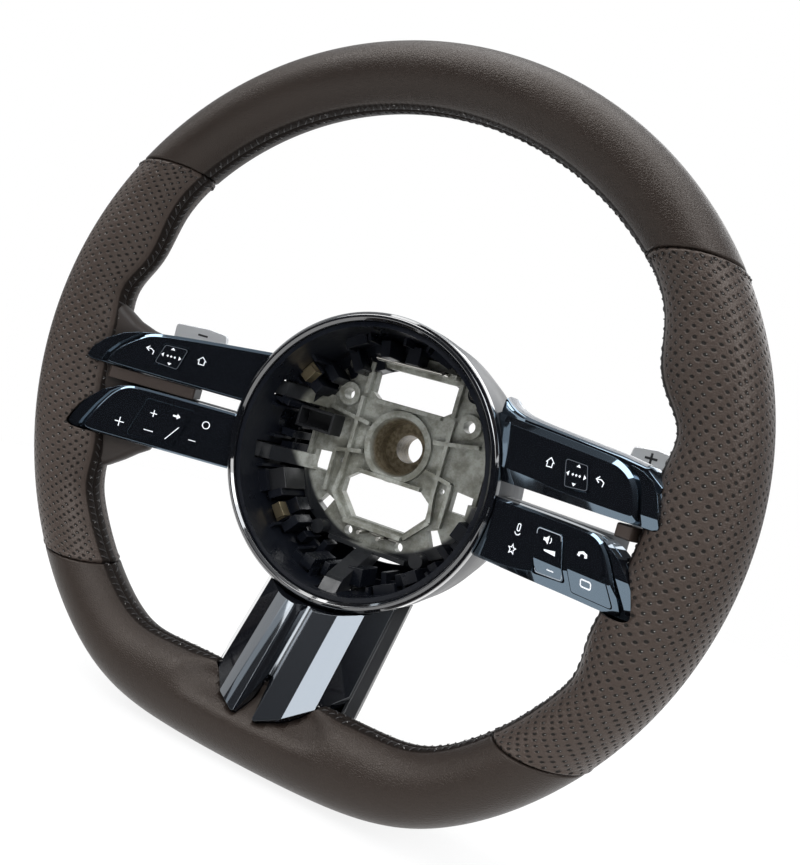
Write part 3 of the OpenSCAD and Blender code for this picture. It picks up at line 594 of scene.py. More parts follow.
def stitch_mesh(ends, thick, bulge, sides=6, rings=5):
    """Short fat threads between pairs of points, each with a normal to lie on."""
    parts = []
    turns = [2 * math.pi * i / sides for i in range(sides)]
    for a, b, up in ends:
        axis = b - a
        across = axis.cross(up).normalized()
        made = []
        for k in range(rings):
            f = k / (rings - 1)
            swell = thick * MM * sin(math.pi * (0.14 + 0.72 * f)) ** 0.6
            middle = a + axis * f + up * (bulge * MM * (4 * f * (1 - f)) - 0.1 * MM)
            made.append([middle + (across * cos(g) + up * sin(g)) * swell for g in turns])
        parts.append(lofted(made))
    return merged(parts)


def grip_normal(a, t):
    return (grip(a, t, 1.0) - grip(a, t)).normalized()


def inner_stitches():
    """Two rows of slanted cross stitches along the inner seam, with short pale threads on some as painted glints."""
    dark, pale = [], []
    total = along(360)
    s = 0.0
    while s < total:
        a = station(s, 0, 360)
        for side in (-1, 1):
            lean = dice.uniform(0.2, 1.8)
            near, far = 180 + side * dice.uniform(2.6, 4.6), 180 + side * dice.uniform(10, 15.5)
            p = grip(station((s + lean) % total, 0, 360), near, 0.1)
            q = grip(station((s - lean) % total, 0, 360), far, 0.1)
            dark.append((p, q, grip_normal(a, (near + far) / 2)))
            # Painted highlight: short pale threads laid on some stitches stand in for glints.
            if dice.random() < 0.3:
                m = 180 + side * dice.uniform(5, 13)
                p = grip(a, m, 0.45)
                q = grip(station((s + 0.9) % total, 0, 360), m + side * 2, 0.45)
                pale.append((p, q, grip_normal(a, m)))
        s += STITCH_PITCH + dice.uniform(-0.35, 0.35)
    piece("inner_stitches", *stitch_mesh(dark, 0.36, 0.3), thread, slot="leather", angle=80)
    piece("inner_stitch_glints", *stitch_mesh(pale, 0.14, 0.1, 4, 3), thread_glint, slot="leather", angle=80)


def seam_stitches():
    """Bead-like stitches beside the two upper cross seams."""
    made = []
    for edge, way in ((SEAM_UP, -1), (180 - SEAM_UP, 1)):
        a1, a2 = (station(along(edge) + way * off, edge - 5, edge + 5) for off in (2.1, 3.5))
        for t in (x * 9.6 + 4 for x in range(37)):
            if 165 < t % 360 < 195:
                continue
            made.append((laid(a1, t, 0.2), laid(a2, t + 3.2, 0.2), (laid(a1, t, 1.0) - laid(a1, t)).normalized()))
    piece("seam_stitches", *stitch_mesh(made, 0.36, 0.3), thread, slot="leather", angle=80)


# ---- blades of the side spokes


def off_hub(u, v, w):
    """How far a spoke point lies outside the hub's cylinder."""
    p = spoke(1, u, v, w)
    return math.hypot(p.x / MM, p.z / MM + HUB_DROP) - HUB_R


def hub_cross(a, b):
    """Where the line from hub-side point a to b leaves the hub's cylinder."""
    def at(f):
        return tuple(a[k] + (b[k] - a[k]) * f for k in range(3))

    return at(crossing(lambda f: off_hub(*at(f)) < 0, 0.0, 1.0))


def hub_clip(ring):
    """A ring of spoke points whose first and last ones lie inside the hub, cut by the hub's cylinder."""
    a, b = hub_cross(ring[0], ring[1]), hub_cross(ring[-1], ring[-2])
    arc = []
    for k in range(1, 10):
        v, w = (b[i] + (a[i] - b[i]) * (k / 10) for i in (1, 2))
        arc.append(hub_cross((-40, v, w), (60, v, w)))
    return [a] + list(ring[1:-1]) + [b] + arc


def level(outline, w):
    """An outline as a ring at one height."""
    return [(u, v, w) for u, v in outline]


def on_spoke(side, rings):
    """Rings of spoke points, placed on one side of the wheel."""
    return [[spoke(side, *p) for p in ring] for ring in rings]


def slab(side, outline, low, high):
    """The two rings of a plain prism in a spoke's frame."""
    return [[spoke(side, u, v, w) for u, v in outline] for w in (low, high)]


def grown(outline, gap):
    """An outline moved outwards by gap."""
    count = len(outline)
    area = sum(outline[i][0] * outline[(i + 1) % count][1] - outline[(i + 1) % count][0] * outline[i][1]
               for i in range(count))
    way = 1 if area > 0 else -1
    result = []
    for i in range(count):
        p, q, r = (Vector(outline[(i + k) % count]) for k in (-1, 0, 1))
        d1, d2 = (q - p).normalized(), (r - q).normalized()
        n1, n2 = Vector((d1.y, -d1.x)) * way, Vector((d2.y, -d2.x)) * way
        result.append(tuple(q + (n1 + n2) * gap / (1 + n1.dot(n2))))
    return result


def bend(a, q, b, steps):
    """Points on a curve from a to b that leans toward q."""
    return [tuple(a * (1 - f) ** 2 + q * 2 * f * (1 - f) + b * f ** 2) for f in (k / steps for k in range(steps + 1))]


def rounded(outline, r):
    """An outline with its corners rounded."""
    count = len(outline)
    result = []
    for i in range(count):
        p, q, s = (Vector(outline[(i + k) % count]) for k in (-1, 0, 1))
        d1, d2 = (p - q).normalized(), (s - q).normalized()
        half = math.acos(max(-1, min(1, d1.dot(d2)))) / 2
        cut = min(r / math.tan(half), (p - q).length * 0.45, (s - q).length * 0.45)
        result += bend(q + d1 * cut, q, q + d2 * cut, 4)
    return result


def smooth_ring(ring, guide=None):
    """A ring of spoke points with its blunt corners drawn into curves, and its sharp ones a little rounded.

    The first and last point stay. A guide ring, where given, says which corners are blunt and how tight others are.
    """
    guide = guide or ring
    result = [ring[0]]
    for i in range(1, len(ring) - 1):
        p, q, s = (Vector(guide[i + k]) for k in (-1, 0, 1))
        blunt = (q - p).xy.angle((s - q).xy) < radians(50)
        tight = min(1.6, 0.4 * (q - p).length, 0.4 * (s - q).length)
        p, q, s = (Vector(ring[i + k]) for k in (-1, 0, 1))
        a, b = (q + (r - q) * (0.46 if blunt else min(0.45, tight / (r - q).length)) for r in (p, s))
        result += bend(a, q, b, 5)
    return result + [ring[-1]]


# ---- outlines: (u, v) in a spoke's frame, with w where a third number stands, and (x, q) or (x, w) on the foot

FOOT_OUTLINE = [(-60, -20), (-60, 20), (-36, 35.6), (-29, 48.7), (-17, 61), (-6.8, 66.4), (-5, 66), (-1, 44), (1, 44),
                (5, 66), (6.8, 66.4), (17, 61), (29, 48.7), (36, 35.6), (60, 20), (60, -20)]
FOOT_SECTION = [(-36, -21), (-36, -18), (-28, -7.1), (-17.6, -2), (-15, -1.2), (-12, -0.6), (-9, -0.2), (-5.4, 0),
                (-4.7, -1.2), (-0.7, -5.6), (0.7, -5.6), (4.7, -1.2), (5.4, 0), (17.6, -1.5), (28, -6.8), (36, -18),
                (36, -21), (33, -21), (31, -17), (25, -10), (16, -5.8), (0, -8), (-16, -5.8), (-25, -10), (-31, -17),
                (-33, -21)]
UPPER = [(-14, 1.2), (27.5, 1.2), (37.9, 1.2), (89, 1.2), (92.4, 2.6), (90.6, 7.5), (85, 14), (77, 19.2),
         (65, 23.2), (30, 27.4), (-14, 32)]
UPPER_EDGE = [(-14, 1.2, -1.2), (27.5, 1.2, -1.2), (37.9, 1.2, -1.2), (80, 1.2, -1.2), (82, 2.8, -1.2),
              (80.6, 7.2, -1), (76, 13, -1), (69, 18.6, -1.1), (62, 23.55, -1.2), (30, 27.4, -1.2), (-14, 32, -1.2)]
UPPER_TOP = [(-14, 2.2), (27.5, 2.2), (37.9, 2.2), (79.4, 2.2), (80.7, 3.1), (79.4, 7.2), (75, 12.3), (68.2, 17.6),
             (61.4, 22), (30, 25.7), (-14, 30.3)]
UPPER_END = [(84, 1.5), (89, 1.5), (92.1, 2.7), (90.4, 7.4), (84.8, 13.8), (76.8, 19), (66, 22.6), (71.4, 18.6),
             (78, 13), (82.4, 7.2), (84.2, 2.6)]
UPPER_RIGHT = [(-14, 1.2), (27.5, 1.2), (37.9, 1.2), (89, 1.2), (92.4, 2.6), (91.4, 9), (88.5, 16), (85, 20.5),
               (80, 23.4), (65, 26), (30, 29.4), (-14, 33)]
UPPER_EDGE_RIGHT = [(-14, 1.2, -2.4), (27.5, 1.2, -2.2), (37.9, 1.2, -2.2), (80, 1.2, -1.4), (82, 2.8, -1.2),
                    (81.4, 8, -1), (79, 15, -1), (75.5, 20, -1.1), (69, 24, -1.3), (62, 25.6, -1.4), (30, 28.6, -1.4),
                    (-14, 32.6, -1.4)]
UPPER_TOP_RIGHT = [(-14, 8.5), (27.5, 6.8), (37.9, 5.1), (79, 4.2), (80.2, 4.6), (79.8, 8), (77.2, 14.6), (73.8, 19),
                   (67.6, 22.2), (61, 23), (30, 25.6), (-14, 29.4)]
UPPER_END_RIGHT = [(84, 1.5), (89, 1.5), (92.1, 2.7), (91, 9), (88.2, 15.8), (84.6, 20.2), (79.4, 22.8), (72, 24.6),
                   (77.5, 21.4), (81, 15.6), (83.4, 8.2), (84.2, 2.6)]
LOWER = [(-14, -36), (60, -36), (89, -36), (93, -34), (92.2, -30.5), (88, -21.5), (80, -13), (71, -8), (61, -6.2),
         (-14, -6.2)]
LOWER_EDGE = [(-14, -36, -1.2), (60, -36, -1.2), (83, -36, -1.2), (85, -34, -1.2), (84.2, -31, -0.9),
              (79.6, -21.5, -0.8), (74, -12.5, -0.8), (68, -7.4, -0.8), (60, -6.2, -0.9), (-14, -6.2, -0.9)]
LOWER_TOP = [(-14, -35), (60, -35), (82.2, -34.9), (83.4, -33.7), (82.9, -30.8), (78.5, -21.6), (73, -12.9),
             (67.4, -8.4), (59.7, -7.4), (-14, -7.4)]
LOWER_END = [(86.6, -35.6), (89, -35.6), (92.6, -33.9), (91.8, -30.5), (87.7, -21.6), (79.8, -13.2), (71, -8.3),
             (69.6, -8), (75.8, -13), (81.2, -21.4), (86, -31), (86.9, -33.8)]
LOWER_EDGE_RIGHT = [(-14, -36, -1.4), (34, -36, -1.4), (57, -36, -4.1), (83, -36, -4.1), (85, -34, -3.7),
                    (84.2, -31, -2.7), (81.2, -24.4, -0.9)] + LOWER_EDGE[5:]
LOWER_TOP_RIGHT = [(-14, -34.6), (34, -34.6), (57, -24.6), (78.8, -24.6), (79.3, -24.5), (79.6, -24.2),
                   (79.7, -23.8)] + LOWER_TOP[5:]
PAD = [(41, 20), (54, 19.3), (57.5, 8.2), (44.5, 7.4)]
ROCKER = [(36.5, -12), (51, -12), (57, -31), (40.5, -32)]
CALL = [(53.6, -10.4), (70.5, -11.8), (76.4, -22), (57, -22.2)]
HANG_UP = [(57.6, -23.6), (77.2, -23.4), (81.8, -33.4), (60.8, -33.4)]
CRUISE = [(30, -11.5), (55, -11.5), (61, -32), (36, -32)]


def folded(name, side, outline, fold, slope, low, high, body="wheel", bevel=0.25):
    """A key whose front falls away below a fold line, in a spoke's frame."""
    ring = []
    for i, (u, v) in enumerate(outline):
        ring.append((u, v))
        p, q = outline[(i + 1) % len(outline)]
        if (v - fold) * (q - fold) < 0:
            f = (fold - v) / (q - v)
            ring.append((u + (p - u) * f, fold))
    count = len(ring)
    points = [spoke(side, u, v, low) for u, v in ring]
    points += [spoke(side, u, v, high - max(0, fold - v) * slope) for u, v in ring]
    faces = [(i, (i + 1) % count, count + (i + 1) % count, count + i) for i in range(count)]
    faces.append(tuple(reversed(range(count))))
    for keep in (lambda v: v >= fold - 1e-6, lambda v: v <= fold + 1e-6):
        part = tuple(count + i for i, (u, v) in enumerate(ring) if keep(v))
        if len(part) > 2:
            faces.append(part)
    return piece(name, points, faces, gloss, body, "gloss_black", bevel=bevel, angle=12)


def blade(height, side, outline, edge, top, end, keys, floor=-3, fold=(-99, 0)):
    """A moulded blade: a body with its faceted cap, cut out for its keys, and an end piece past a groove."""
    hand = HANDS[side]
    name = f"{height}_blade_{hand}"
    soft = smooth_ring(edge)
    body = [hub_clip(smooth_ring(level(outline, w))) for w in (-12, floor)]
    cap = [hub_clip(ring) for ring in
           ([(u, v, floor - 0.1) for u, v, w in soft], soft, smooth_ring(level(top, 0), edge))]
    base, panel = (piece(name + part, *lofted(on_spoke(side, rings)), gloss, slot="gloss_black", bevel=0.25,
                         angle=angle)
                   for part, rings, angle in (("_body", body, 30), ("_cap", cap, 8)))
    for thing in (base, panel):
        carve(thing, [cutter(slab(side, rounded(grown(key, 0.35), 1.6), -9, 3)) for key in keys])
    folded(name + "_end", side, rounded(end, 1.2), *fold, floor - 3, -0.4, bevel=0.3)
    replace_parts(panel, f"{height}_frame_{hand}", f"{height}_panel_{hand}")


leather("rim_leather_top", SEAM_UP, 180 - SEAM_UP, leather_plain, 0.0, "leather_top", "rim_foam")
leather("rim_leather_left", 180 - SEAM_UP, 180 + SEAM_LOW, leather_holes, 0.35, "leather_left")
leather("rim_leather_bottom", 180 + SEAM_LOW, 360 - SEAM_LOW, leather_plain, 0.0, "leather_bottom")
leather("rim_leather_right", 360 - SEAM_LOW, 360 + SEAM_UP, leather_holes, 0.35, "leather_right")
inner_stitches()
seam_stitches()

blade("upper", -1, UPPER, UPPER_EDGE, UPPER_TOP, UPPER_END, [PAD])
blade("upper", 1, UPPER_RIGHT, UPPER_EDGE_RIGHT, UPPER_TOP_RIGHT, UPPER_END_RIGHT, [PAD], fold=(6.2, 0.5))
blade("lower", -1, LOWER, LOWER_EDGE, LOWER_TOP, LOWER_END, [CRUISE])
blade("lower", 1, LOWER, LOWER_EDGE_RIGHT, LOWER_TOP_RIGHT, LOWER_END, [ROCKER, CALL, HANG_UP], floor=-4.6,
      fold=(-21, 0.34))
for name, outline, corner, fold, low, high, key in (
        ("rocker_cap", ROCKER, 1.8, ROCKER_FOLD, -4, 0.6, "volume_rocker"),
        ("lower_key_cap", HANG_UP, 1.4, HANG_UP_FOLD, -5, 0.3, "hang_up_key")):
    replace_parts(folded(name, 1, rounded(outline, corner), fold, FOLD_SLOPE, low, high, key), key)


def shoulder():
    """The shoulder that sweeps from the hub along the top of the right upper blade, with its pale edge."""
    body, line = [], []
    for k in range(48):
        u = -6 + 2 * k
        top = 29.4 - (u - 30) * 0.098 if u < 65 else 26 - (u - 65) * 0.16 - max(0, u - 80) * 0.5
        high = top + 2.0 + 5.5 * math.exp(-((u + 6) / 7.0))
        body.append([spoke(1, u, v, w) for v, w in
                     ((top - 3, -14), (high - 2, -14), (high - 0.6, -13.2), (high, -11.6), (high - 0.1, -6),
                      (high - 0.9, -4.0), (high - 2.0, -3.0), (top + 0.2, -2.6), (top - 3, -2.6))])
        if u < 80:
            line.append([spoke(1, u, high + v, w) for v, w in
                         ((-1.2, -11), (0.15, -10.6), (0.2, -6), (-0.3, -4.8), (-0.8, -4.2), (-1.2, -5.4))])
    piece("shoulder_right", *lofted(body), gloss, slot="gloss_black", angle=40)
    piece("shoulder_edge", *lofted(line), pale_satin, slot="satin_grey", angle=60)


def gaiters():
    """The leather that runs in from the rim behind the ends of the blades, drawn in a darker copy of the leather as
    painted shade.
    """
    for side, name, outline in (
            (-1, "upper_left",
             [(100, 12), (100, 40), (87, 38), (80, 32), (73, 27.6), (65, 24.8), (56, 23.2), (56, 12)]),
            (-1, "lower_left",
             [(98, -28), (98, -54), (76, -56), (69, -53), (62, -48), (56, -43), (50, -39), (50, -28)]),
            (-1, "slot_left", [(100, -20), (100, 6), (70, 6), (66, 4), (66, -14), (70, -20)]),
            (1, "slot_right", [(104, -20), (104, 6), (84, 6), (81, 4), (81, -14), (84, -20)])):
        rings = [[spoke(side, u, v, w) for u, v in rounded(grown(outline, gap), 3.0)]
                 for gap, w in ((-4.6, -7.0), (-2.2, -8.0), (-0.7, -9.8), (0, -12.5), (0, -17), (-0.7, -19.4),
                                (-2.4, -20.5))]
        piece("gaiter_" + name, *lofted(rings), leather_painted_shade, slot="leather", angle=80)


def foot_blades():
    """The twin pointed blades of the bottom spoke: a faceted section cut out by their outline and by the hub."""
    section = [[foot(x, q, FOOT_FRONT + w) for x, w in FOOT_SECTION] for q in (-24, 72)]
    thing = piece("foot_blades", *lofted(section), foot_gloss, slot="gloss_black", bevel=0.5, angle=8)
    blank = cutter([[foot(x, q, w) for x, q in FOOT_OUTLINE] for w in (-40, 12)])
    hub = cutter([[row(x, y, z) for x, y in circle(0, -HUB_DROP, HUB_R, 96)] for z in (10, 130)])
    carve(thing, [hub], [blank])
    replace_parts(thing, "foot_trim")


def upper_back(side):
    """The dark cover behind an upper blade."""
    outline = [(-6, 3), (60, 3), (70, 6), (70, 12), (62, 18), (30, 23), (-6, 26)]
    rings = [hub_clip(level(grown(outline, gap), w)) for gap, w in ((0, -12.2), (0, -19), (-2.4, -24))]
    thing = piece("upper_back_cover_" + HANDS[side], *lofted(on_spoke(side, rings)), matte, slot="satin_grey",
                  bevel=0.6)
    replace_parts(thing, "upper_back_" + HANDS[side])


def paddle(side):
    """A shift paddle: a thin plate with a low neck, and the knuckle on its pin."""
    near, far = (40.2, 60.4) if side > 0 else (24.8, 57.5)
    outline = rounded([(3, 7), (3, 22.8), (near - 1, 23.2), (near + 0.6, 33.6), (near + 12, 34.6), (far, 33.2),
                       (57, 18), (55, 2.4), (12, 2.4), (9, 7)], 2.2)
    plate = [[paddle_plate(side, a, v, c) for a, v in outline] for c in (-1.6, 1.6)]
    knuckle = [[paddle_plate(side, a, v, c) for a, c in circle(0, 0, 3.4, 24)] for v in (6.8, 25.2)]
    node = "paddle_" + HANDS[side]
    points, faces = merged([lofted(plate), lofted(knuckle)])
    thing = piece("paddle_shape_" + HANDS[side], points, faces, silver, node, "silver", bevel=0.7)
    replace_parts(thing, node)


def hub_clutter():
    """Dark ribs and boxes along the inside of the housing, and the dark floor round the plate."""
    parts = []
    for k in range(34):
        angle = radians(92 + k * 8 + dice.uniform(-2, 2))
        near, far = dice.uniform(53.5, 60), 65.5
        low = dice.uniform(12, 34)
        high = min(low + dice.uniform(8, 26), 60)
        half = dice.uniform(1.2, 4.6)
        ring = [(r * cos(angle) - off * sin(angle), r * sin(angle) + off * cos(angle) - HUB_DROP)
                for r, off in ((near, -half), (far, -half), (far, half), (near, half))]
        parts.append(lofted([[row(x, y, z) for x, y in ring] for z in (low, high)]))
    piece("housing_ribs", *merged(parts), housing, slot="matte_black", bevel=0.4)
    inner, outer = (circle(0, -HUB_DROP, r, 96) for r in (55, 68))
    rings = [[row(x, y, z) for x, y in ring] for ring, z in
             ((inner, 11), (outer, 11), (outer, 12.4), (inner, 12.4), (inner, 11))]
    piece("housing_floor", *lofted(rings, ends=False), housing, slot="matte_black", smooth=False)


# ---- CAD nodes shown as they are

FINISHES = (
    (cast, 0.35, "armature"),
    (leather_block, 1.5, "slot_infill_left", "slot_infill_right"),
    (ring_black, 0.4, "hub_ring"),
    (housing, 0.3, "hub_housing"),
    (gloss, 0.25, "touch_pad_left", "touch_pad_right", "call_key", "cruise_key"),
    (board, 0.1, "switch_boards_left", "switch_boards_right"),
    (steel, 0.1, "paddle_pin_left", "paddle_pin_right", "airbag_wire_upper", "airbag_wire_lower"),
    (steel, 0.2, "armature_screws"),
    (brass, 0.1, "contact_clip_upper", "contact_clip_lower"),
    # The lower back is one part on both sides; the left one is drawn darker, in matte black, as painted shade.
    (satin, 0.8, "lower_back_right"),
    (matte, 0.8, "lower_back_left", "foot_shell"),
    (matte, 0.6, "rear_cover"),
    (matte, 0.5, "control_module"),
    (matte, 0.4, "harness_connector"),
    (matte, 0.3, "paddle_base_left", "paddle_base_right"),
)
for paint, bevel, *names in FINISHES:
    for name in names:
        dress(name, paint, bevel)

# ---- icons and marks


def ribbon(place, path, width, lift, closed=False):
    """A flat line of a given width along a path, as points and faces."""
    count = len(path)
    left, right = [], []
    for i in range(count):
        q = Vector(path[i])
        p = Vector(path[i - 1]) if (closed or i) else None
        r = Vector(path[(i + 1) % count]) if (closed or i < count - 1) else None
        d1 = (q - p).normalized() if p is not None else (r - q).normalized()
        d2 = (r - q).normalized() if r is not None else d1
        n1, n2 = Vector((-d1.y, d1.x)), Vector((-d2.y, d2.x))
        n = (n1 + n2) / max(0.35, 1 + n1.dot(n2)) * width / 2
        left.append(q + n)
        right.append(q - n)
    points = [place(p.x, p.y, lift) for p in left] + [place(p.x, p.y, lift) for p in right]
    last = count if closed else count - 1
    faces = [(i, (i + 1) % count, count + (i + 1) % count, count + i) for i in range(last)]
    return points, faces


def patch(place, outline, lift):
    return [place(u, v, lift) for u, v in outline], [tuple(range(len(outline)))]


def circle(u, v, r, steps, start=0, end=360):
    """Points on a circle or, with both its ends, on an arc."""
    step = (end - start) / (steps if end - start == 360 else steps - 1)
    return [(u + r * cos(radians(start + k * step)), v + r * sin(radians(start + k * step))) for k in range(steps)]


def join(name, parts, body="wheel", paint=icon_white, slot="gloss_black"):
    """Flat marks as one thin piece."""
    thing = piece(name, *merged(parts), paint, body, slot, smooth=False)
    thick = thing.modifiers.new("thick", "SOLIDIFY")
    thick.thickness = 0.06 * MM
    thick.offset = 0


def turned(points, u, v, angle=0, scale=1.0):
    """A mark's points turned, scaled and moved to their place."""
    c, s = cos(radians(angle)) * scale, sin(radians(angle)) * scale
    return [(u + x * c - y * s, v + x * s + y * c) for x, y in points]


TIP = [(-0.5, -1.1), (0.8, 0), (-0.5, 1.1)]
HOME = [(-2.2, 0), (0, 2.1), (2.2, 0), (1.5, 0), (1.5, -2), (-1.5, -2), (-1.5, 0)]
BACK = [(1.9, -1.7), (2.2, 0.2), (0.6, 1.1), (-1.6, 1.0)]
BACK_HEAD = [(-0.4, 2.3), (-1.9, 1.0), (-0.3, -0.3)]
STAR = [(r * cos(radians(90 + 36 * k)), r * sin(radians(90 + 36 * k))) for k, r in enumerate([2.3, 1.0] * 5)]
HANDSET = [(-2.6, -0.6), (-2.2, 0.9), (0, 1.7), (2.2, 0.9), (2.6, -0.6), (1.3, -0.9), (1.1, 0.2), (0, 0.6),
           (-1.1, 0.2), (-1.3, -0.9)]
ARROW = [(-2.2, -0.5), (0.2, -0.5), (0.2, -1.6), (2.2, 0), (0.2, 1.6), (0.2, 0.5), (-2.2, 0.5)]


def folding(fold):
    """Places points on a key of the right blade, whose front falls away below a fold line."""
    return lambda u, v, w: spoke(1, u, v, w - FOLD_SLOPE * max(0, fold - v))


def left_marks(place):
    """Joins the marks of the lower left key, and gives those of the blade itself."""
    arrow = turned([(-x, y) for x, y in ARROW], 38, -16.2, 0, 0.9)
    strokes = ([(48, -27.5), (53, -27.5)], [(48.3, -18), (51.9, -18)], [(50.1, -16.2), (50.1, -19.8)])
    join("cruise_marks", [ribbon(place, [(41, -29.5), (35.4, -21.6)], STROKE, 0.45), patch(place, arrow, 0.45)]
         + [ribbon(place, stroke, STROKE, 0.45) for stroke in strokes], "cruise_key")
    strokes = ([(25, -26.5), (29, -26.5)], [(66.5, -24.6), (66.5, -29.4)], [(64.1, -27), (68.9, -27)])
    return [ribbon(place, circle(22, -16.5, 1.9, 14), STROKE, THIN, True)] + [
        ribbon(place, stroke, STROKE, THIN) for stroke in strokes]


def right_marks(place):
    """Joins the icons of the lower right keys and a painted highlight round the rocker, and gives those of the blade
    itself.
    """
    join("call_marks", [patch(place, turned(HANDSET, 63.5, -17), 0.45)], "call_key")
    frame_mark = rounded([(65.4, -26.4), (70.6, -26.4), (70.6, -29.4), (65.4, -29.4)], 0.9)
    join("hang_up_marks", [ribbon(folding(HANG_UP_FOLD), frame_mark, 0.6, 0.35, True)], "hang_up_key")
    horn = [(42, -15.6), (43.2, -15.6), (44.8, -14.3), (44.8, -18.1), (43.2, -16.9), (42, -16.9)]
    wedge = [(43.6, -20.6), (49.8, -19.8), (50.3, -21.8), (44.1, -21.2)]
    rocker = folding(ROCKER_FOLD)
    join("volume_marks", [patch(place, horn, 0.65), ribbon(place, circle(44.6, -16.2, 1.7, 8, -45, 45), 0.35, 0.65),
                          patch(place, wedge, 0.65), ribbon(rocker, [(47.4, -28.4), (51.2, -28.4)], 0.5, 0.65)],
         "volume_rocker")
    # Painted highlight: a pale line round the rocker stands in for the light on its edge.
    join("volume_highlight", [ribbon(rocker, rounded(grown(ROCKER, -0.5), 1.6), 0.34, 0.65, True)], "volume_rocker",
         pale_edge_highlight)
    capsule = rounded([(25.7, -14.2), (27.3, -14.2), (27.3, -17.4), (25.7, -17.4)], 0.7)
    return [ribbon(place, turned(STAR, 26, -26.1), STROKE, THIN, True),
            ribbon(place, circle(26.5, -17.6, 1.7, 10, 200, 340), STROKE, THIN),
            ribbon(place, capsule, STROKE, THIN, True)]


def draw_icons(side):
    """The marks on one side's pad, keys, blades and paddle, and a painted highlight round the pad."""
    hand = HANDS[side]
    place, plate = partial(spoke, side), partial(paddle_plate, side)
    home, back, head = ([(x * side, y) for x, y in mark] for mark in (HOME, BACK, BACK_HEAD))
    parts = [ribbon(place, turned(home, 33.2, 15.9), STROKE, THIN, True)]
    parts += [ribbon(place, turned(mark, 61.1, 13.8), STROKE, THIN) for mark in (back, head)]
    pad, pad_lift = "touch_pad_" + hand, 0.75 if side > 0 else 0.45
    tips = [turned(TIP, 49.3 + 4.6 * cos(radians(way)), 13.7 + 4.0 * sin(radians(way)), way)
            for way in (0, 90, 180, 270)]
    dots = [circle(49.3 + 1.9 * k, 13.7, 0.62, 4) for k in (-1, 0, 1)]
    join("pad_marks_" + hand, [patch(place, outline, pad_lift) for outline in tips + dots], pad)
    # Painted highlight: a thin grey line round the pad stands in for the light on its edge.
    join("pad_edge_" + hand, [ribbon(place, rounded(grown(PAD, -0.5), 1.2), 0.26, pad_lift, True)], pad, grey_edge_highlight)
    parts += right_marks(place) if side > 0 else left_marks(place)
    join("blade_marks_" + hand, parts)
    middle = 50.2 if side > 0 else 39.8
    strokes = [[(middle - 3, 29.9), (middle + 3, 29.9)], [(middle, 27.2), (middle, 32.4)]]
    join("paddle_mark_" + hand, [ribbon(plate, stroke, 1.1, 1.66) for stroke in strokes[:1 if side < 0 else 2]],
         "paddle_" + hand, mark_dark, "silver")


shoulder()
gaiters()
foot_blades()
hub_clutter()
for side in HANDS:
    upper_back(side)
    paddle(side)
    draw_icons(side)

# ---- studio


def lamp(name, place, aim, size, power, tint=(1, 1, 1)):
    data = bpy.data.lights.new(name, "AREA")
    data.shape = "RECTANGLE"
    data.size, data.size_y = size
    data.energy = power
    data.color = tint
    thing = bpy.data.objects.new(name, data)
    thing.location = place
    thing.rotation_euler = (Vector(aim) - Vector(place)).to_track_quat("-Z", "Y").to_euler()
    scene.collection.objects.link(thing)
    thing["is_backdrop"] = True


lamp("key", (-0.9, -1.1, 1.5), (0, -0.05, 0), (1.2, 0.9), 26)
lamp("fill", (0.945, -1.233, 1.10), (0, -0.05, 0), (0.9, 0.9), 18, (0.93, 0.96, 1.0))
lamp("top", (0.0, -0.1, 1.6), (0, -0.05, 0), (1.6, 1.0), 22)
lamp("back", (0.4, 1.3, 0.9), (0, 0, 0), (1.4, 0.8), 8)
lamp("strip_right", (0.86, -0.68, 0.52), (0, -0.1, -0.1), (0.34, 0.5), 2.6)
lamp("strip_foot", (-1.22, -1.07, 0.98), (0, -0.08, -0.1), (0.26, 0.5), 0.75, (0.85, 0.93, 1.0))
lamp("strip_left", (-0.95, -0.42, 0.35), (0, -0.1, -0.1), (0.5, 0.5), 1.4)

# The camera sees white; polished surfaces see a dark horizon under a pale sky; the rest gets an even light
world = bpy.data.worlds.new("studio")
scene.world = world
world.use_nodes = True
world.node_tree.nodes.clear()
sky = Nodes(world.node_tree)


def background(colour, strength):
    return sky.add("ShaderNodeBackground", {"Color": colour, "Strength": strength}).outputs[0]


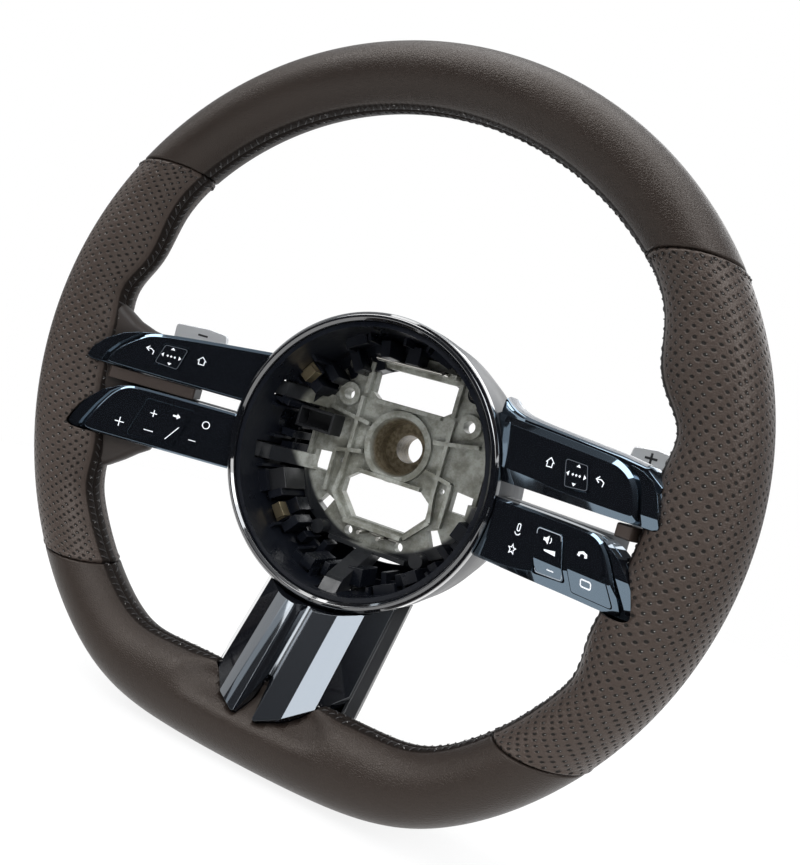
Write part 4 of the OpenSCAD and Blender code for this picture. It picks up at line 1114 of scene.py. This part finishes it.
ray = sky.add("ShaderNodeLightPath").outputs
_, depth, height = sky.split(sky.place("Generated"))
height = sky.add("ShaderNodeMapRange", {"Value": height, "From Min": -1, "From Max": 1}).outputs["Result"]
behind = sky.add("ShaderNodeMapRange", {"Value": depth, "From Min": 0.05, "From Max": 0.3}).outputs["Result"]
shades = sky.add("ShaderNodeValToRGB", {"Fac": height})
shades.color_ramp.elements[0].color = (0.75, 0.80, 0.86, 1)
shades.color_ramp.elements[1].color = (0.95, 0.97, 1.0, 1)
for spot, value in ((0.32, 0.60), (0.40, 0.015), (0.60, 0.015), (0.72, 0.10), (0.86, 0.40)):
    shades.color_ramp.elements.new(spot).color = (value * 0.97, value * 0.985, value, 1)
room = background(sky.mix(behind, shades.outputs["Color"], (0.9, 0.93, 0.96)), 0.8)
glossy = sky.mix_shaders(ray["Is Glossy Ray"], background((0.97, 0.985, 1.0, 1), 0.55), room)
seen = sky.mix_shaders(ray["Is Camera Ray"], glossy, background((1, 1, 1, 1), 1.0))
sky.add("ShaderNodeOutputWorld", {"Surface": seen})

floor_z = min(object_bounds()[0][2], -0.16) - 0.0005
paper = Paint("paper", (0.9, 0.9, 0.9), 0.8, specular=0.2)
mesh = bpy.data.meshes.new("floor")
mesh.from_pydata([(x, y, floor_z) for x, y in circle(0, 0.1, 0.75, 60)], [], [tuple(range(60))])
mesh.materials.append(paper.material)
floor = bpy.data.objects.new("floor", mesh)
scene.collection.objects.link(floor)
floor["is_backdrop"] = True
ray = paper.add("ShaderNodeLightPath").outputs
strength = paper.plus(1.0, paper.times(ray["Is Glossy Ray"], 0.4))
glow = paper.add("ShaderNodeEmission", {"Color": (1, 1, 1, 1), "Strength": strength}).outputs[0]
shown = paper.math("MAXIMUM", ray["Is Camera Ray"], ray["Is Glossy Ray"])
both = paper.mix_shaders(paper.times(shown, 0.85), paper.shader.outputs[0], glow)
paper.tree.links.new(both, paper.tree.nodes["Material Output"].inputs["Surface"])

# ---- camera

camera_data = bpy.data.cameras.new("camera")
camera_data.lens = 34.38
camera_data.sensor_width = 36
camera_data.clip_start = 0.01
camera = bpy.data.objects.new("camera", camera_data)
scene.collection.objects.link(camera)
axes = Matrix(((0.8778, -0.2618, 0.4012), (0.3914, -0.0907, -0.9157), (0.2761, 0.9608, 0.0229)))
camera.matrix_world = Matrix.Translation((0.18166, -0.44295, 0.01856)) @ axes.to_4x4()
scene.camera = camera
scene.view_settings.view_transform = "Standard"
